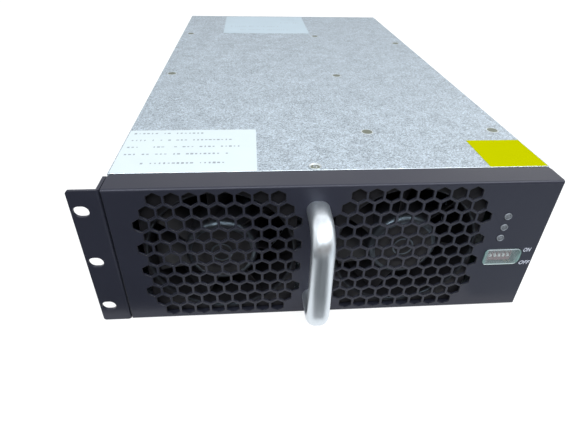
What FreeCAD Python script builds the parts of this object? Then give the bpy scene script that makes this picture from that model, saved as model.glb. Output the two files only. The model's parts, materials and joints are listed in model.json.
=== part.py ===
"""DC-DC converter module: a two-unit, half-width rack module with two fans behind a honeycomb front.

Modelled in millimetres from the front face's plane: +X to the viewer's right, +Y to the rear, +Z up, with
X = 0 in the body's middle and Z = 0 on the underside. Every finished piece is then moved so that the origin
is the middle of the body's underside.
"""
import FreeCAD, Part
import math
import os

Vector = FreeCAD.Vector
AXIS_X = Vector(1, 0, 0)
AXIS_Y = Vector(0, 1, 0)
AXIS_Z = Vector(0, 0, 1)
PARALLEL = 0.99          # cosine from which an edge counts as lying along an axis

# Sheet metal
SHEET = 1.2              # thickness of tray, cover, panels and brackets
BEND = 1.0               # inner radius of the case's folds
FRONT_BEND = 0.2         # inner radius of the front panel's and ear's folds
FIT = 0.15               # gap between sheets that are laid or slid together
HOLE_PLAY = 0.1          # radial play of a screw or lamp in its hole

# Body
BODY_DEPTH = 420.0       # front face to rear face
LEFT_MARGIN = 14.05      # body's left side to the left fan
CONTROL_WIDTH = 35.45    # right fan to the body's right side
PANEL_INSET = 0.5        # front panel's ends inside the body's sides
FLANGE_DEPTH = 15.2      # front panel's flanges
FLANGE_CORNER = 3.0      # rounding of the flanges' free corners
REAR_LIP = 12.0          # cover's rear flange, and the rear panel's side flanges
LIP_WIDTH = 17.4         # tray's lips under the cover

# Honeycomb
HEX_FLATS = 7.2          # hole, across flats
HEX_WEB = 1.37           # metal between two holes
GRILLE_MARGIN = 2.5      # widest row's room beyond the fan, on each side

# Fans
FAN_SIZE = 80.0
FAN_DEPTH = 38.0
FAN_GAP = 20.0           # between the two fans
FAN_CLEARANCE = 1.1      # fan to the bracket's flanges
FAN_STANDOFF = 2.0       # front panel to fan
FAN_RIM = 2.0            # frame beside the bore
FAN_CORNER = 4.5         # rounding of the frame's corners
HUB_DIAMETER = 40.0
HUB_WALL = 2.0           # hub beyond the motor base's edge
HUB_RECESS = 1.5         # hub's face behind the fan's front
BLADE_COUNT = 7
BLADE_THICKNESS = 1.6
BLADE_TIP_GAP = 0.7      # blade's tip corners to the bore
BLADE_END_GAP = 2.0      # blade inside the hub's ends
BLADE_ANGLE = 42.0       # chord against the axis
SHAFT_DIAMETER = 3.0
SHAFT_PLAY = 0.05
MOTOR_BASE = 3.0
STRUT_WIDTH = 4.0
ROTOR_GAP = 1.0          # rotor to motor base

# Mounting ear
EAR_WIDTH = 15.55        # beyond the body's side
EAR_SHEET = 1.6
EAR_LEG = 14.8
EAR_INSET = 0.3          # ear's ends inside the panel's
EAR_CORNER = 1.5
EAR_SLOT_LENGTH = 7.7
EAR_SLOT_HEIGHT = 6.3
EAR_SLOT_SPACING = 31.75
EAR_SLOT_FROM_EDGE = 4.9
EAR_SLOT_DROP = 0.3      # middle slot below the ear's middle
NEARLY_ROUND = 0.999     # share of half the height that rounds a slot's ends

# Handle
HANDLE_SPAN = 59.3       # between the arms' centres
HANDLE_REACH = 22.4      # panel to the grip's centre
HANDLE_WIDTH = 11.7
HANDLE_DEPTH = 10.0      # across the bar in the plane of its bends
HANDLE_CORNER = 4.8      # rounding of the bar's edges
HANDLE_BEND = 11.0       # bend radius on the bar's centre

# Lamps, window and switch
LAMP_FROM_SIDE = 24.05
LAMP_ABOVE_MIDDLE = 22.4
LAMP_PITCH = 7.1
LAMP_COUNT = 3
LAMP_DIAMETER = 3.9
LAMP_PROUD = 0.5
WINDOW_FROM_SIDE = 18.55
WINDOW_BELOW_MIDDLE = 5.5
WINDOW_WIDTH = 21.4
WINDOW_HEIGHT = 11.5
WINDOW_CORNER = 3.8
LENS_PROUD = 0.8
LENS_RIM = 1.4
LENS_RIM_THICKNESS = 1.0
SWITCH_POLES = 5
SWITCH_PITCH = 2.54
SWITCH_OFFSET = -0.5     # switch beside the window's middle
SWITCH_END = 0.8         # body beyond the outer poles' pitch
SWITCH_HEIGHT = 9.0
SWITCH_DEPTH = 5.0
SLIDER_WIDTH = 1.6
SLIDER_HEIGHT = 2.1
SLIDER_TRAVEL = 2.0
SLIDER_PROUD = 0.5
SLIDER_SUNK = 1.2
SLIDER_PLAY = 0.1
CONTROL_BOARD_EDGE = 6.0
SPACER_FLATS = 5.0

# Cover screw and rail
SCREW = 3.0
SCREW_HEAD = 6.8
SCREW_HEAD_HEIGHT = 1.4
SCREW_ENGAGED = 3.0      # beyond the last sheet
RAIL_X = 26.0
RAIL_WIDTH = 14.0
RAIL_HEIGHT = 12.0

# Labels
LABEL_THICKNESS = 0.15
WHITE_LABEL_WIDTH = 73.5
WHITE_LABEL_DEPTH = 51.5
WHITE_LABEL_CORNER = 1.2
YELLOW_LABEL_WIDTH = 31.8
YELLOW_LABEL_DEPTH = 32.4
REAR_LABEL_WIDTH = 93.0
REAR_LABEL_DEPTH = 90.0
REAR_LABEL_X = -25.5     # middle
REAR_LABEL_FROM_REAR = 5.5
LABEL_EDGE = 0.6         # from the cover's edge

# Inside
BOARD_THICKNESS = 1.6
BOARD_LIFT = 6.0
BOARD_SIDE_GAP = 4.0
BOARD_FRONT_GAP = 6.0
BOARD_REAR_GAP = 1.0
STANDOFF_FLATS = 6.0
STANDOFF_INSET = 7.0
ZONE_GAP = 8.0           # between rows of components
CAPACITOR_DIAMETER = 30.0
CAPACITOR_HEIGHT = 50.0
CAPACITOR_PITCH = 40.0
HEATSINK_WIDTH = 42.0
HEATSINK_SIDE_GAP = 8.0
HEATSINK_TOP_GAP = 4.0
HEATSINK_BASE = 5.0
FIN_THICKNESS = 1.8
FIN_PITCH = 8.5
TRANSISTOR_WIDTH = 16.0
TRANSISTOR_HEIGHT = 21.0
TRANSISTOR_DEPTH = 5.0
TRANSISTOR_PITCH = 27.0
TRANSISTOR_LIFT = 16.0
LEG_WIDTH = 1.4
LEG_PITCH = 5.4
TRANSFORMER_WIDTH = 58.0
TRANSFORMER_DEPTH = 32.0
TRANSFORMER_HEIGHT = 50.0
INDUCTOR_WIDTH = 46.0
INDUCTOR_DEPTH = 26.0
INDUCTOR_HEIGHT = 40.0
CORE_LEG_SHARE = 0.25    # centre leg of the core's width; each outer leg is half of it
WINDING_BULGE = 7.0      # winding beyond the core's faces
WINDING_PLAY = 0.4
WINDING_CORNER = 5.5
CHOKE_WIDTH = 36.0
CHOKE_DEPTH = 22.0
CHOKE_HEIGHT = 32.0
FILM_WIDTH = 32.0
FILM_DEPTH = 18.0
FILM_HEIGHT = 33.0
FILM_COUNT = 3
RELAY_WIDTH = 28.0
RELAY_DEPTH = 20.0
RELAY_HEIGHT = 25.0
CARD_LENGTH = 70.0
CARD_HEIGHT = 45.0
CARD_X = 46.0

# Rear
CONNECTOR_WIDTH = 92.0
CONNECTOR_HEIGHT = 22.0
CONNECTOR_DEPTH = 26.0
CONNECTOR_PROUD = 5.0
CONNECTOR_SHOULDER = 3.0
GUIDE_DIAMETER = 8.0
GUIDE_DEPTH = 16.0
GUIDE_SPACING = 76.0
BLADE_SLOT_COUNT = 6
BLADE_SLOT_PITCH = 10.0
BLADE_SLOT_WIDTH = 2.4
BLADE_SLOT_HEIGHT = 13.0
BLADE_SLOT_DEPTH = 14.0
CONTACT_LENGTH = 8.0
VENT_WIDTH = 5.0
VENT_WEB = 2.6
VENT_HEIGHT = 42.0
VENT_EDGE = 14.0

# Worked out from the above
BODY_WIDTH = LEFT_MARGIN + 2 * FAN_SIZE + FAN_GAP + CONTROL_WIDTH
BODY_HEIGHT = FAN_SIZE + 2 * (2 * SHEET + FAN_CLEARANCE)
SIDE = BODY_WIDTH / 2
INNER_SIDE = SIDE - SHEET
MIDDLE = BODY_HEIGHT / 2
LIP_TOP = BODY_HEIGHT - SHEET
LIP_UNDER = LIP_TOP - SHEET
TRAY_FRONT = SHEET + FRONT_BEND + FIT
TRAY_REAR = BODY_DEPTH - SHEET - FIT
COVER_FRONT = FLANGE_DEPTH + FIT
REAR_PANEL_INNER = TRAY_REAR - SHEET
FAN_X = (-SIDE + LEFT_MARGIN + FAN_SIZE / 2, SIDE - CONTROL_WIDTH - FAN_SIZE / 2)
HANDLE_X = (FAN_X[0] + FAN_X[1]) / 2
FAN_FRONT = SHEET + FAN_STANDOFF
FAN_REAR = FAN_FRONT + FAN_DEPTH
BRACKET_REAR = FAN_REAR + SHEET
FAN_BORE = FAN_SIZE - 2 * FAN_RIM
HEX_PITCH = HEX_FLATS + HEX_WEB
GRILLE_WIDTH = FAN_SIZE + 2 * GRILLE_MARGIN
LAMP_X = SIDE - LAMP_FROM_SIDE
WINDOW_X = SIDE - WINDOW_FROM_SIDE
WINDOW_Z = MIDDLE - WINDOW_BELOW_MIDDLE
SWITCH_X = WINDOW_X + SWITCH_OFFSET
SWITCH_FACE = SHEET + LENS_RIM_THICKNESS + SLIDER_PROUD + FIT
CONTROL_BOARD_FRONT = SWITCH_FACE + SWITCH_DEPTH
BOARD_TOP = SHEET + BOARD_LIFT + BOARD_THICKNESS
BOARD_FRONT = BRACKET_REAR + BOARD_FRONT_GAP
BOARD_REAR = REAR_PANEL_INNER - BOARD_REAR_GAP
CAPACITOR_ROW_Y = BOARD_FRONT + STANDOFF_INSET + STANDOFF_FLATS + CAPACITOR_DIAMETER / 2
CONNECTOR_FRONT = BODY_DEPTH + CONNECTOR_PROUD - CONNECTOR_DEPTH - CONNECTOR_SHOULDER
FILM_ROW_Y = CONNECTOR_FRONT - ZONE_GAP - FILM_DEPTH / 2
CHOKE_Y = FILM_ROW_Y - FILM_DEPTH / 2 - ZONE_GAP - WINDING_BULGE - CHOKE_DEPTH / 2
HEATSINK_FRONT = CAPACITOR_ROW_Y + CAPACITOR_DIAMETER / 2 + ZONE_GAP
HEATSINK_REAR = CHOKE_Y - CHOKE_DEPTH / 2 - WINDING_BULGE - ZONE_GAP
HEATSINK_INNER = INNER_SIDE - HEATSINK_SIDE_GAP - HEATSINK_WIDTH
TRANSFORMER_Y = HEATSINK_FRONT + WINDING_BULGE + TRANSFORMER_DEPTH / 2
INDUCTOR_Y = TRANSFORMER_Y + TRANSFORMER_DEPTH / 2 + INDUCTOR_DEPTH / 2 + 2 * WINDING_BULGE + ZONE_GAP


def box(x0, x1, y0, y1, z0, z1):
    return Part.makeBox(x1 - x0, y1 - y0, z1 - z0, Vector(x0, y0, z0))


def rod(diameter, start, end):
    """Round bar between two points."""
    along = end - start
    return Part.makeCylinder(diameter / 2, along.Length, start, along)


def fuse(shapes):
    return shapes[0].multiFuse(shapes[1:]).removeSplitter()


def polygon_face(points):
    return Part.Face(Part.makePolygon(points + points[:1]))


def rounded_block(x, z, width, height, corner, y0, y1):
    """Block along Y whose four long edges are rounded."""
    block = box(x - width / 2, x + width / 2, y0, y1, z - height / 2, z + height / 2)
    along_y = [e for e in block.Edges if abs(e.tangentAt(e.FirstParameter).y) > PARALLEL]
    return block.makeFillet(corner, along_y)


def upright_edges(block):
    return [e for e in block.Edges if abs(e.tangentAt(e.FirstParameter).z) > PARALLEL]


def left_normal(start, end):
    length = math.dist(start, end)
    return (start[1] - end[1]) / length, (end[0] - start[0]) / length


def offset_points(points, distance):
    """Points of the open line moved to its left."""
    normals = [left_normal(a, b) for a, b in zip(points, points[1:])]
    moved = []
    for i, (u, v) in enumerate(points):
        first = normals[max(i - 1, 0)]
        second = normals[min(i, len(normals) - 1)]
        share = distance / (1 + first[0] * second[0] + first[1] * second[1])
        moved.append((u + share * (first[0] + second[0]), v + share * (first[1] + second[1])))
    return moved


def rounded_line(points, radius, place):
    """Edges of an open line whose corners are arcs; place turns plane coordinates into a Vector."""
    edges = []
    last = place(*points[0])
    for before, corner, after in zip(points, points[1:], points[2:]):
        here = place(*corner)
        to_before = (place(*before) - here).normalize()
        to_after = (place(*after) - here).normalize()
        half_angle = to_before.getAngle(to_after) / 2
        start = here + to_before * (radius / math.tan(half_angle))
        end = here + to_after * (radius / math.tan(half_angle))
        inward = (to_before + to_after).normalize()
        top = here + inward * (radius / math.sin(half_angle) - radius)
        edges.append(Part.LineSegment(last, start).toShape())
        edges.append(Part.Arc(start, top, end).toShape())
        last = end
    edges.append(Part.LineSegment(last, place(*points[-1])).toShape())
    return edges


def folded_sheet(points, thickness, place, along, bend=BEND):
    """Sheet folded along its outer line, thickened to the line's left and extruded; all folds turn left."""
    inner = offset_points(points, thickness)[::-1]
    outer_edges = rounded_line(points, bend + thickness, place)
    inner_edges = rounded_line(inner, bend, place)
    caps = [
        Part.LineSegment(place(*points[-1]), place(*inner[0])).toShape(),
        Part.LineSegment(place(*inner[-1]), place(*points[0])).toShape(),
    ]
    wire = Part.Wire(outer_edges + caps[:1] + inner_edges + caps[1:])
    return Part.Face(wire).extrude(along)


def across(x):
    """Plane coordinates (y, z) at one X."""
    return lambda y, z: Vector(x, y, z)


def upright(z):
    """Plane coordinates (x, y) at one Z."""
    return lambda x, y: Vector(x, y, z)


def lengthwise(y):
    """Plane coordinates (x, z) at one Y."""
    return lambda x, z: Vector(x, y, z)


def hexagon_prism(x, z, flats, height, y0, y1):
    """Prism along Y with points at top and bottom; height stretches it to a long hole."""
    point = flats / math.sqrt(3)
    corners = [(0, height / 2), (flats / 2, height / 2 - point / 2), (flats / 2, point / 2 - height / 2)]
    ring = corners + [(-u, -v) for u, v in corners]
    return polygon_face([Vector(x + u, y0, z + v) for u, v in ring]).extrude(Vector(0, y1 - y0, 0))


def honeycomb_centres(x):
    """Rows of a grille: every other row is one hole shorter, and the end rows lose their end holes."""
    point = HEX_FLATS / math.sqrt(3)
    row_step = HEX_PITCH * math.sqrt(3) / 2
    half_rows = int((MIDDLE - SHEET - FRONT_BEND - point) / row_step)
    longest = int((GRILLE_WIDTH - HEX_FLATS) / HEX_PITCH) + 1
    centres = []
    for row in range(-half_rows, half_rows + 1):
        count = longest - (row % 2 == 0) - 2 * (abs(row) == half_rows)
        for i in range(count):
            centres.append((x + (i - (count - 1) / 2) * HEX_PITCH, MIDDLE + row * row_step))
    return centres


def round_corners_along_z(shape, corners, radius):
    """Round the upright edges that stand at the given (x, y) places."""
    edges = []
    for edge in shape.Edges:
        first, last = edge.Vertexes[0].Point, edge.Vertexes[-1].Point
        if abs(first.z - last.z) < FIT:
            continue
        if any(math.dist((first.x, first.y), c) + math.dist((last.x, last.y), c) < FIT for c in corners):
            edges.append(edge)
    return shape.makeFillet(radius, edges)


def screw_hole(x, y, z0, z1):
    return rod(SCREW + 2 * HOLE_PLAY, Vector(x, y, z0), Vector(x, y, z1))


def chassis_tray():
    outline = [
        (LIP_WIDTH - SIDE, LIP_TOP),
        (-SIDE, LIP_TOP),
        (-SIDE, 0),
        (SIDE, 0),
        (SIDE, LIP_TOP),
        (SIDE - LIP_WIDTH, LIP_TOP),
    ]
    tray = folded_sheet(outline, SHEET, lengthwise(TRAY_FRONT), Vector(0, TRAY_REAR - TRAY_FRONT, 0))
    panel_flange = box(-BODY_WIDTH, BODY_WIDTH, 0, COVER_FRONT, -SHEET, SHEET + FIT)
    cover_bend = box(-BODY_WIDTH, BODY_WIDTH, TRAY_REAR - BEND, BODY_DEPTH, LIP_TOP - BEND - FIT, BODY_HEIGHT)
    return tray.cut([panel_flange, cover_bend])


def top_cover():
    outline = [(BODY_DEPTH, BODY_HEIGHT - REAR_LIP), (BODY_DEPTH, BODY_HEIGHT), (COVER_FRONT, BODY_HEIGHT)]
    cover = folded_sheet(outline, SHEET, across(-SIDE), Vector(BODY_WIDTH, 0, 0))
    return cover.cut(screw_hole(*cover_screw_place(), LIP_UNDER, BODY_HEIGHT + SHEET))


def front_panel():
    outline = [(FLANGE_DEPTH, BODY_HEIGHT), (0, BODY_HEIGHT), (0, 0), (FLANGE_DEPTH, 0)]
    half_width = SIDE - PANEL_INSET
    panel = folded_sheet(outline, SHEET, across(-half_width), Vector(2 * half_width, 0, 0), FRONT_BEND)
    free_corners = [(-half_width, FLANGE_DEPTH), (half_width, FLANGE_DEPTH)]
    panel = round_corners_along_z(panel, free_corners, FLANGE_CORNER)
    y0, y1 = -SHEET, 2 * SHEET
    point_to_point = 2 * HEX_FLATS / math.sqrt(3)
    cuts = []
    for fan_x in FAN_X:
        for x, z in honeycomb_centres(fan_x):
            cuts.append(hexagon_prism(x, z, HEX_FLATS, point_to_point, y0, y1))
    cuts.append(rounded_block(WINDOW_X, WINDOW_Z, WINDOW_WIDTH, WINDOW_HEIGHT, WINDOW_CORNER, y0, y1))
    for z in lamp_heights():
        cuts.append(rod(LAMP_DIAMETER + 2 * HOLE_PLAY, Vector(LAMP_X, y0, z), Vector(LAMP_X, y1, z)))
    return panel.cut(cuts)


def ear_bracket():
    inner_face = -SIDE - FIT
    outer_edge = -SIDE - EAR_WIDTH
    outline = [(outer_edge, 0), (inner_face, 0), (inner_face, EAR_LEG)]
    height = BODY_HEIGHT - 2 * EAR_INSET
    ear = folded_sheet(outline, EAR_SHEET, upright(EAR_INSET), Vector(0, 0, height), FRONT_BEND)
    corner_edges = []
    for edge in ear.Edges:
        ends = [v.Point for v in edge.Vertexes]
        along_y = abs(ends[0].y - ends[-1].y) > FIT and abs(ends[0].x - outer_edge) < FIT
        along_x = abs(ends[0].x - ends[-1].x) > FIT and abs(ends[0].y - EAR_LEG) < FIT
        if len(ends) == 2 and (along_y or along_x):
            corner_edges.append(edge)
    ear = ear.makeFillet(EAR_CORNER, corner_edges)
    cuts = []
    for z in ear_slot_heights():
        cuts.append(
            rounded_block(
                outer_edge + EAR_SLOT_FROM_EDGE, z, EAR_SLOT_LENGTH, EAR_SLOT_HEIGHT,
                EAR_SLOT_HEIGHT / 2 * NEARLY_ROUND, -EAR_SHEET, 2 * EAR_SHEET,
            )
        )
    return ear.cut(cuts)


def handle():
    """Bar with rounded edges bent to a bow: two arms, two bends and a grip."""
    run = HANDLE_REACH - HANDLE_BEND
    pieces = []
    for side in (1, -1):
        z = MIDDLE + side * HANDLE_SPAN / 2
        arm = rounded_block(HANDLE_X, z, HANDLE_WIDTH, HANDLE_DEPTH, HANDLE_CORNER, -run, 0)
        section = min(arm.Faces, key=lambda face: face.CenterOfMass.y)
        pivot = Vector(HANDLE_X, -run, z - side * HANDLE_BEND)
        pieces += [arm, section.revolve(pivot, AXIS_X, side * 90)]
    grip_section = section.copy()
    grip_section.rotate(pivot, AXIS_X, -90)
    pieces.append(grip_section.extrude(Vector(0, 0, HANDLE_SPAN - 2 * HANDLE_BEND)))
    return fuse(pieces)


def fan_bracket():
    """Sheet behind the fans, with flanges that join front panel, tray and cover."""
    front = FLANGE_DEPTH / 2
    outline = [(front, SHEET), (BRACKET_REAR, SHEET), (BRACKET_REAR, LIP_TOP), (front, LIP_TOP)]
    half_width = INNER_SIDE - BEND - FIT
    bracket = folded_sheet(outline, SHEET, across(-half_width), Vector(2 * half_width, 0, 0))
    cuts = [screw_hole(*cover_screw_place(), LIP_UNDER - SHEET, LIP_TOP + SHEET)]
    for side in (1, -1):
        edges = sorted((side * (SIDE - LIP_WIDTH - FIT), side * BODY_WIDTH))
        cuts.append(box(*edges, 0, BODY_DEPTH, LIP_UNDER - FIT, BODY_HEIGHT))
    for fan_x in FAN_X:
        start = Vector(fan_x, FAN_REAR - SHEET, MIDDLE)
        cuts.append(rod(FAN_BORE, start, start + AXIS_Y * 3 * SHEET))
    return bracket.cut(cuts)


def fan_frame(fan_x):
    """Square frame with a round bore; four struts at the rear carry the motor base with its bearing."""
    frame = rounded_block(fan_x, MIDDLE, FAN_SIZE, FAN_SIZE, FAN_CORNER, FAN_FRONT, FAN_REAR)
    frame = frame.cut(rod(FAN_BORE, Vector(fan_x, 0, MIDDLE), Vector(fan_x, FAN_REAR + SHEET, MIDDLE)))
    base_front = FAN_REAR - MOTOR_BASE
    reach = (FAN_BORE + FAN_SIZE) / 4
    half = STRUT_WIDTH / 2
    level_strut = box(fan_x - reach, fan_x + reach, base_front, FAN_REAR, MIDDLE - half, MIDDLE + half)
    upright_strut = box(fan_x - half, fan_x + half, base_front, FAN_REAR, MIDDLE - reach, MIDDLE + reach)
    base_start, base_end = Vector(fan_x, base_front, MIDDLE), Vector(fan_x, FAN_REAR, MIDDLE)
    base = rod(HUB_DIAMETER - 2 * HUB_WALL, base_start, base_end)
    bearing = rod(SHAFT_DIAMETER + 2 * SHAFT_PLAY, base_start, base_end)
    return fuse([frame, level_strut, upright_strut, base]).cut(bearing)


def fan_rotor(fan_x):
    """Closed hub with pitched blades, and the shaft that runs in the motor base."""
    hub_front = FAN_FRONT + HUB_RECESS
    hub_rear = FAN_REAR - MOTOR_BASE - ROTOR_GAP
    start, end = Vector(fan_x, hub_front, MIDDLE), Vector(fan_x, hub_rear, MIDDLE)
    hub = rod(HUB_DIAMETER, start, end)
    shaft = rod(SHAFT_DIAMETER, end, Vector(fan_x, FAN_REAR, MIDDLE))
    blades = []
    for i in range(BLADE_COUNT):
        blade = fan_blade(fan_x, hub_front + BLADE_END_GAP, hub_rear - BLADE_END_GAP)
        blade.rotate(start, AXIS_Y, i * 360 / BLADE_COUNT)
        blades.append(blade)
    return fuse([hub, shaft] + blades)


def fan_blade(fan_x, front, rear):
    """One blade standing up from the hub: a plate whose chord crosses the axis at the blade angle."""
    angle = math.radians(BLADE_ANGLE)
    sweep = (rear - front) / 2 * math.tan(angle)
    half = BLADE_THICKNESS / 2 / math.cos(angle)
    swept_radius = FAN_BORE / 2 - BLADE_TIP_GAP
    tip = math.sqrt(swept_radius ** 2 - (sweep + half) ** 2)
    root = HUB_DIAMETER / 4
    chord = [(-sweep - half, front), (half - sweep, front), (sweep + half, rear), (sweep - half, rear)]
    ring = [Vector(fan_x + u, y, MIDDLE + root) for u, y in chord]
    return polygon_face(ring).extrude(Vector(0, 0, tip - root))


def cover_screw():
    """Pan-head screw through the cover into the fan bracket."""
    seat = Vector(*cover_screw_place(), BODY_HEIGHT)
    head = rod(SCREW_HEAD, seat, seat + AXIS_Z * SCREW_HEAD_HEIGHT)
    shank = rod(SCREW, seat - AXIS_Z * (2 * SHEET + SCREW_ENGAGED), seat)
    return fuse([head, shank])


def ear_slot_heights():
    return [MIDDLE - EAR_SLOT_DROP + i * EAR_SLOT_SPACING for i in (-1, 0, 1)]


def lamp_heights():
    return [MIDDLE + LAMP_ABOVE_MIDDLE - i * LAMP_PITCH for i in range(LAMP_COUNT)]


def cover_screw_place():
    return HANDLE_X, COVER_FRONT + SCREW_HEAD / 2 + FIT


def rear_panel():
    """Sheet between the tray's sides, with air slots and the connector's cut-out."""
    half_width = INNER_SIDE - FIT
    front = TRAY_REAR - REAR_LIP
    outline = [(half_width, front), (half_width, TRAY_REAR), (-half_width, TRAY_REAR), (-half_width, front)]
    bottom, top = SHEET + BEND + FIT, LIP_UNDER - BEND - FIT
    panel = folded_sheet(outline, SHEET, upright(bottom), Vector(0, 0, top - bottom))
    y0, y1 = REAR_PANEL_INNER - SHEET, TRAY_REAR + SHEET
    opening = [CONNECTOR_WIDTH / 2 + FIT, BOARD_TOP - FIT, BOARD_TOP + CONNECTOR_HEIGHT + FIT]
    cuts = [box(-opening[0], opening[0], y0, y1, opening[1], opening[2])]
    pitch = VENT_WIDTH + VENT_WEB
    count = int((half_width - VENT_EDGE) / pitch)
    vent_top = BODY_HEIGHT - REAR_LIP - VENT_WEB
    vent_floor = opening[2] + VENT_WEB
    for i in range(-count, count + 1):
        x = i * pitch
        over_connector = abs(x) < opening[0] + VENT_WIDTH
        height = min(VENT_HEIGHT, vent_top - vent_floor) if over_connector else VENT_HEIGHT
        cuts.append(hexagon_prism(x, vent_top - height / 2, VENT_WIDTH, height, y0, y1))
    return panel.cut(cuts)


def cover_rail():
    """Angle under the cover's middle, from the fan bracket to the rear panel."""
    left, right = RAIL_X - RAIL_WIDTH / 2, RAIL_X + RAIL_WIDTH / 2
    outline = [(right, LIP_TOP), (left, LIP_TOP), (left, LIP_TOP - RAIL_HEIGHT)]
    length = REAR_PANEL_INNER - BRACKET_REAR
    return folded_sheet(outline, SHEET, lengthwise(BRACKET_REAR), Vector(0, length, 0))


def lamp(z):
    """Round lamp on the control board that stands just proud of the panel."""
    return rod(LAMP_DIAMETER, Vector(LAMP_X, -LAMP_PROUD, z), Vector(LAMP_X, CONTROL_BOARD_FRONT, z))


def window_lens():
    """Clear insert: a plug in the panel's window and a rim behind it."""
    blocks = []
    for grow, y0, y1 in ((-FIT, -LENS_PROUD, SHEET), (LENS_RIM, SHEET, SHEET + LENS_RIM_THICKNESS)):
        width, height = WINDOW_WIDTH + 2 * grow, WINDOW_HEIGHT + 2 * grow
        blocks.append(rounded_block(WINDOW_X, WINDOW_Z, width, height, WINDOW_CORNER + grow, y0, y1))
    return fuse(blocks)


def switch_columns():
    return [SWITCH_X + (i - (SWITCH_POLES - 1) / 2) * SWITCH_PITCH for i in range(SWITCH_POLES)]


def switch_body():
    half_length = SWITCH_POLES * SWITCH_PITCH / 2 + SWITCH_END
    low, high = WINDOW_Z - SWITCH_HEIGHT / 2, WINDOW_Z + SWITCH_HEIGHT / 2
    body = box(
        SWITCH_X - half_length, SWITCH_X + half_length, SWITCH_FACE, SWITCH_FACE + SWITCH_DEPTH, low, high
    )
    half_width = SLIDER_WIDTH / 2 + SLIDER_PLAY
    half_height = (SLIDER_HEIGHT + SLIDER_TRAVEL) / 2 + SLIDER_PLAY
    floor = SWITCH_FACE + SLIDER_SUNK + SLIDER_PLAY
    cuts = []
    for x in switch_columns():
        cuts.append(
            box(x - half_width, x + half_width, 0, floor, WINDOW_Z - half_height, WINDOW_Z + half_height)
        )
    return body.cut(cuts)


def switch_slider(x):
    """Slider at the lower end of its slot, which is OFF."""
    low = WINDOW_Z - (SLIDER_HEIGHT + SLIDER_TRAVEL) / 2
    half = SLIDER_WIDTH / 2
    return box(
        x - half, x + half, SWITCH_FACE - SLIDER_PROUD, SWITCH_FACE + SLIDER_SUNK, low, low + SLIDER_HEIGHT
    )


def spacer_places():
    """Two posts beside the switch's window and the lamps."""
    x = SIDE - (WINDOW_FROM_SIDE - WINDOW_WIDTH / 2)
    above = MIDDLE + LAMP_ABOVE_MIDDLE
    below = WINDOW_Z - WINDOW_HEIGHT / 2 - LENS_RIM - SPACER_FLATS
    return [(x, above), (x, below)]


def control_board():
    left = SIDE - CONTROL_WIDTH + SHEET
    right = INNER_SIDE - SHEET
    low = spacer_places()[1][1] - CONTROL_BOARD_EDGE
    high = spacer_places()[0][1] + CONTROL_BOARD_EDGE
    return box(left, right, CONTROL_BOARD_FRONT, CONTROL_BOARD_FRONT + BOARD_THICKNESS, low, high)


def board_spacers():
    point_to_point = 2 * SPACER_FLATS / math.sqrt(3)
    posts = []
    for x, z in spacer_places():
        posts.append(hexagon_prism(x, z, SPACER_FLATS, point_to_point, SHEET, CONTROL_BOARD_FRONT))
    return Part.makeCompound(posts)


def standoff_places():
    x = INNER_SIDE - BOARD_SIDE_GAP - STANDOFF_INSET
    rows = (BOARD_FRONT + STANDOFF_INSET, (BOARD_FRONT + BOARD_REAR) / 2, BOARD_REAR - STANDOFF_INSET)
    return [(side * x, y) for side in (-1, 1) for y in rows]


def main_board():
    half_width = INNER_SIDE - BOARD_SIDE_GAP
    return box(-half_width, half_width, BOARD_FRONT, BOARD_REAR, SHEET + BOARD_LIFT, BOARD_TOP)


def board_standoffs():
    """Hexagonal posts between the tray's floor and the main board."""
    posts = []
    for x, y in standoff_places():
        post = hexagon_prism(0, 0, STANDOFF_FLATS, 2 * STANDOFF_FLATS / math.sqrt(3), 0, BOARD_LIFT)
        post.rotate(Vector(0, 0, 0), AXIS_X, 90)
        posts.append(post.translated(Vector(x, y, SHEET)))
    return Part.makeCompound(posts)


def heatsink(side):
    """Comb-shaped extrusion: an upright base towards the middle, fins towards the wall."""
    top = LIP_UNDER - HEATSINK_TOP_GAP
    height = top - BOARD_TOP
    outline = [(0, 0), (0, height), (HEATSINK_BASE, height)]
    count = int((height - FIN_THICKNESS) / FIN_PITCH)
    first = (height - count * FIN_PITCH - FIN_THICKNESS) / 2
    for i in range(count, -1, -1):
        low = first + i * FIN_PITCH
        high = low + FIN_THICKNESS
        outline += [(HEATSINK_BASE, high), (HEATSINK_WIDTH, high)]
        outline += [(HEATSINK_WIDTH, low), (HEATSINK_BASE, low)]
    outline.append((HEATSINK_BASE, 0))
    ring = [Vector(side * (HEATSINK_INNER + u), HEATSINK_FRONT, BOARD_TOP + v) for u, v in outline]
    return polygon_face(ring).extrude(Vector(0, HEATSINK_REAR - HEATSINK_FRONT, 0))


def transistors(side):
    """Flat packages bolted to a heatsink's base, standing on three legs each."""
    count = int((HEATSINK_REAR - HEATSINK_FRONT) / TRANSISTOR_PITCH)
    first = (HEATSINK_FRONT + HEATSINK_REAR - (count - 1) * TRANSISTOR_PITCH) / 2
    low = BOARD_TOP + TRANSISTOR_LIFT
    back, face = side * HEATSINK_INNER, side * (HEATSINK_INNER - TRANSISTOR_DEPTH)
    half_leg = LEG_WIDTH / 2
    leg_left = (back + face) / 2 - half_leg
    leg_right = leg_left + LEG_WIDTH
    packages = []
    for i in range(count):
        y = first + i * TRANSISTOR_PITCH
        half = TRANSISTOR_WIDTH / 2
        body = box(min(back, face), max(back, face), y - half, y + half, low, low + TRANSISTOR_HEIGHT)
        legs = []
        for j in (-1, 0, 1):
            leg_y = y + j * LEG_PITCH
            legs.append(box(leg_left, leg_right, leg_y - half_leg, leg_y + half_leg, BOARD_TOP, low))
        packages.append(body.fuse(legs))
    return Part.makeCompound(packages)


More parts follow.
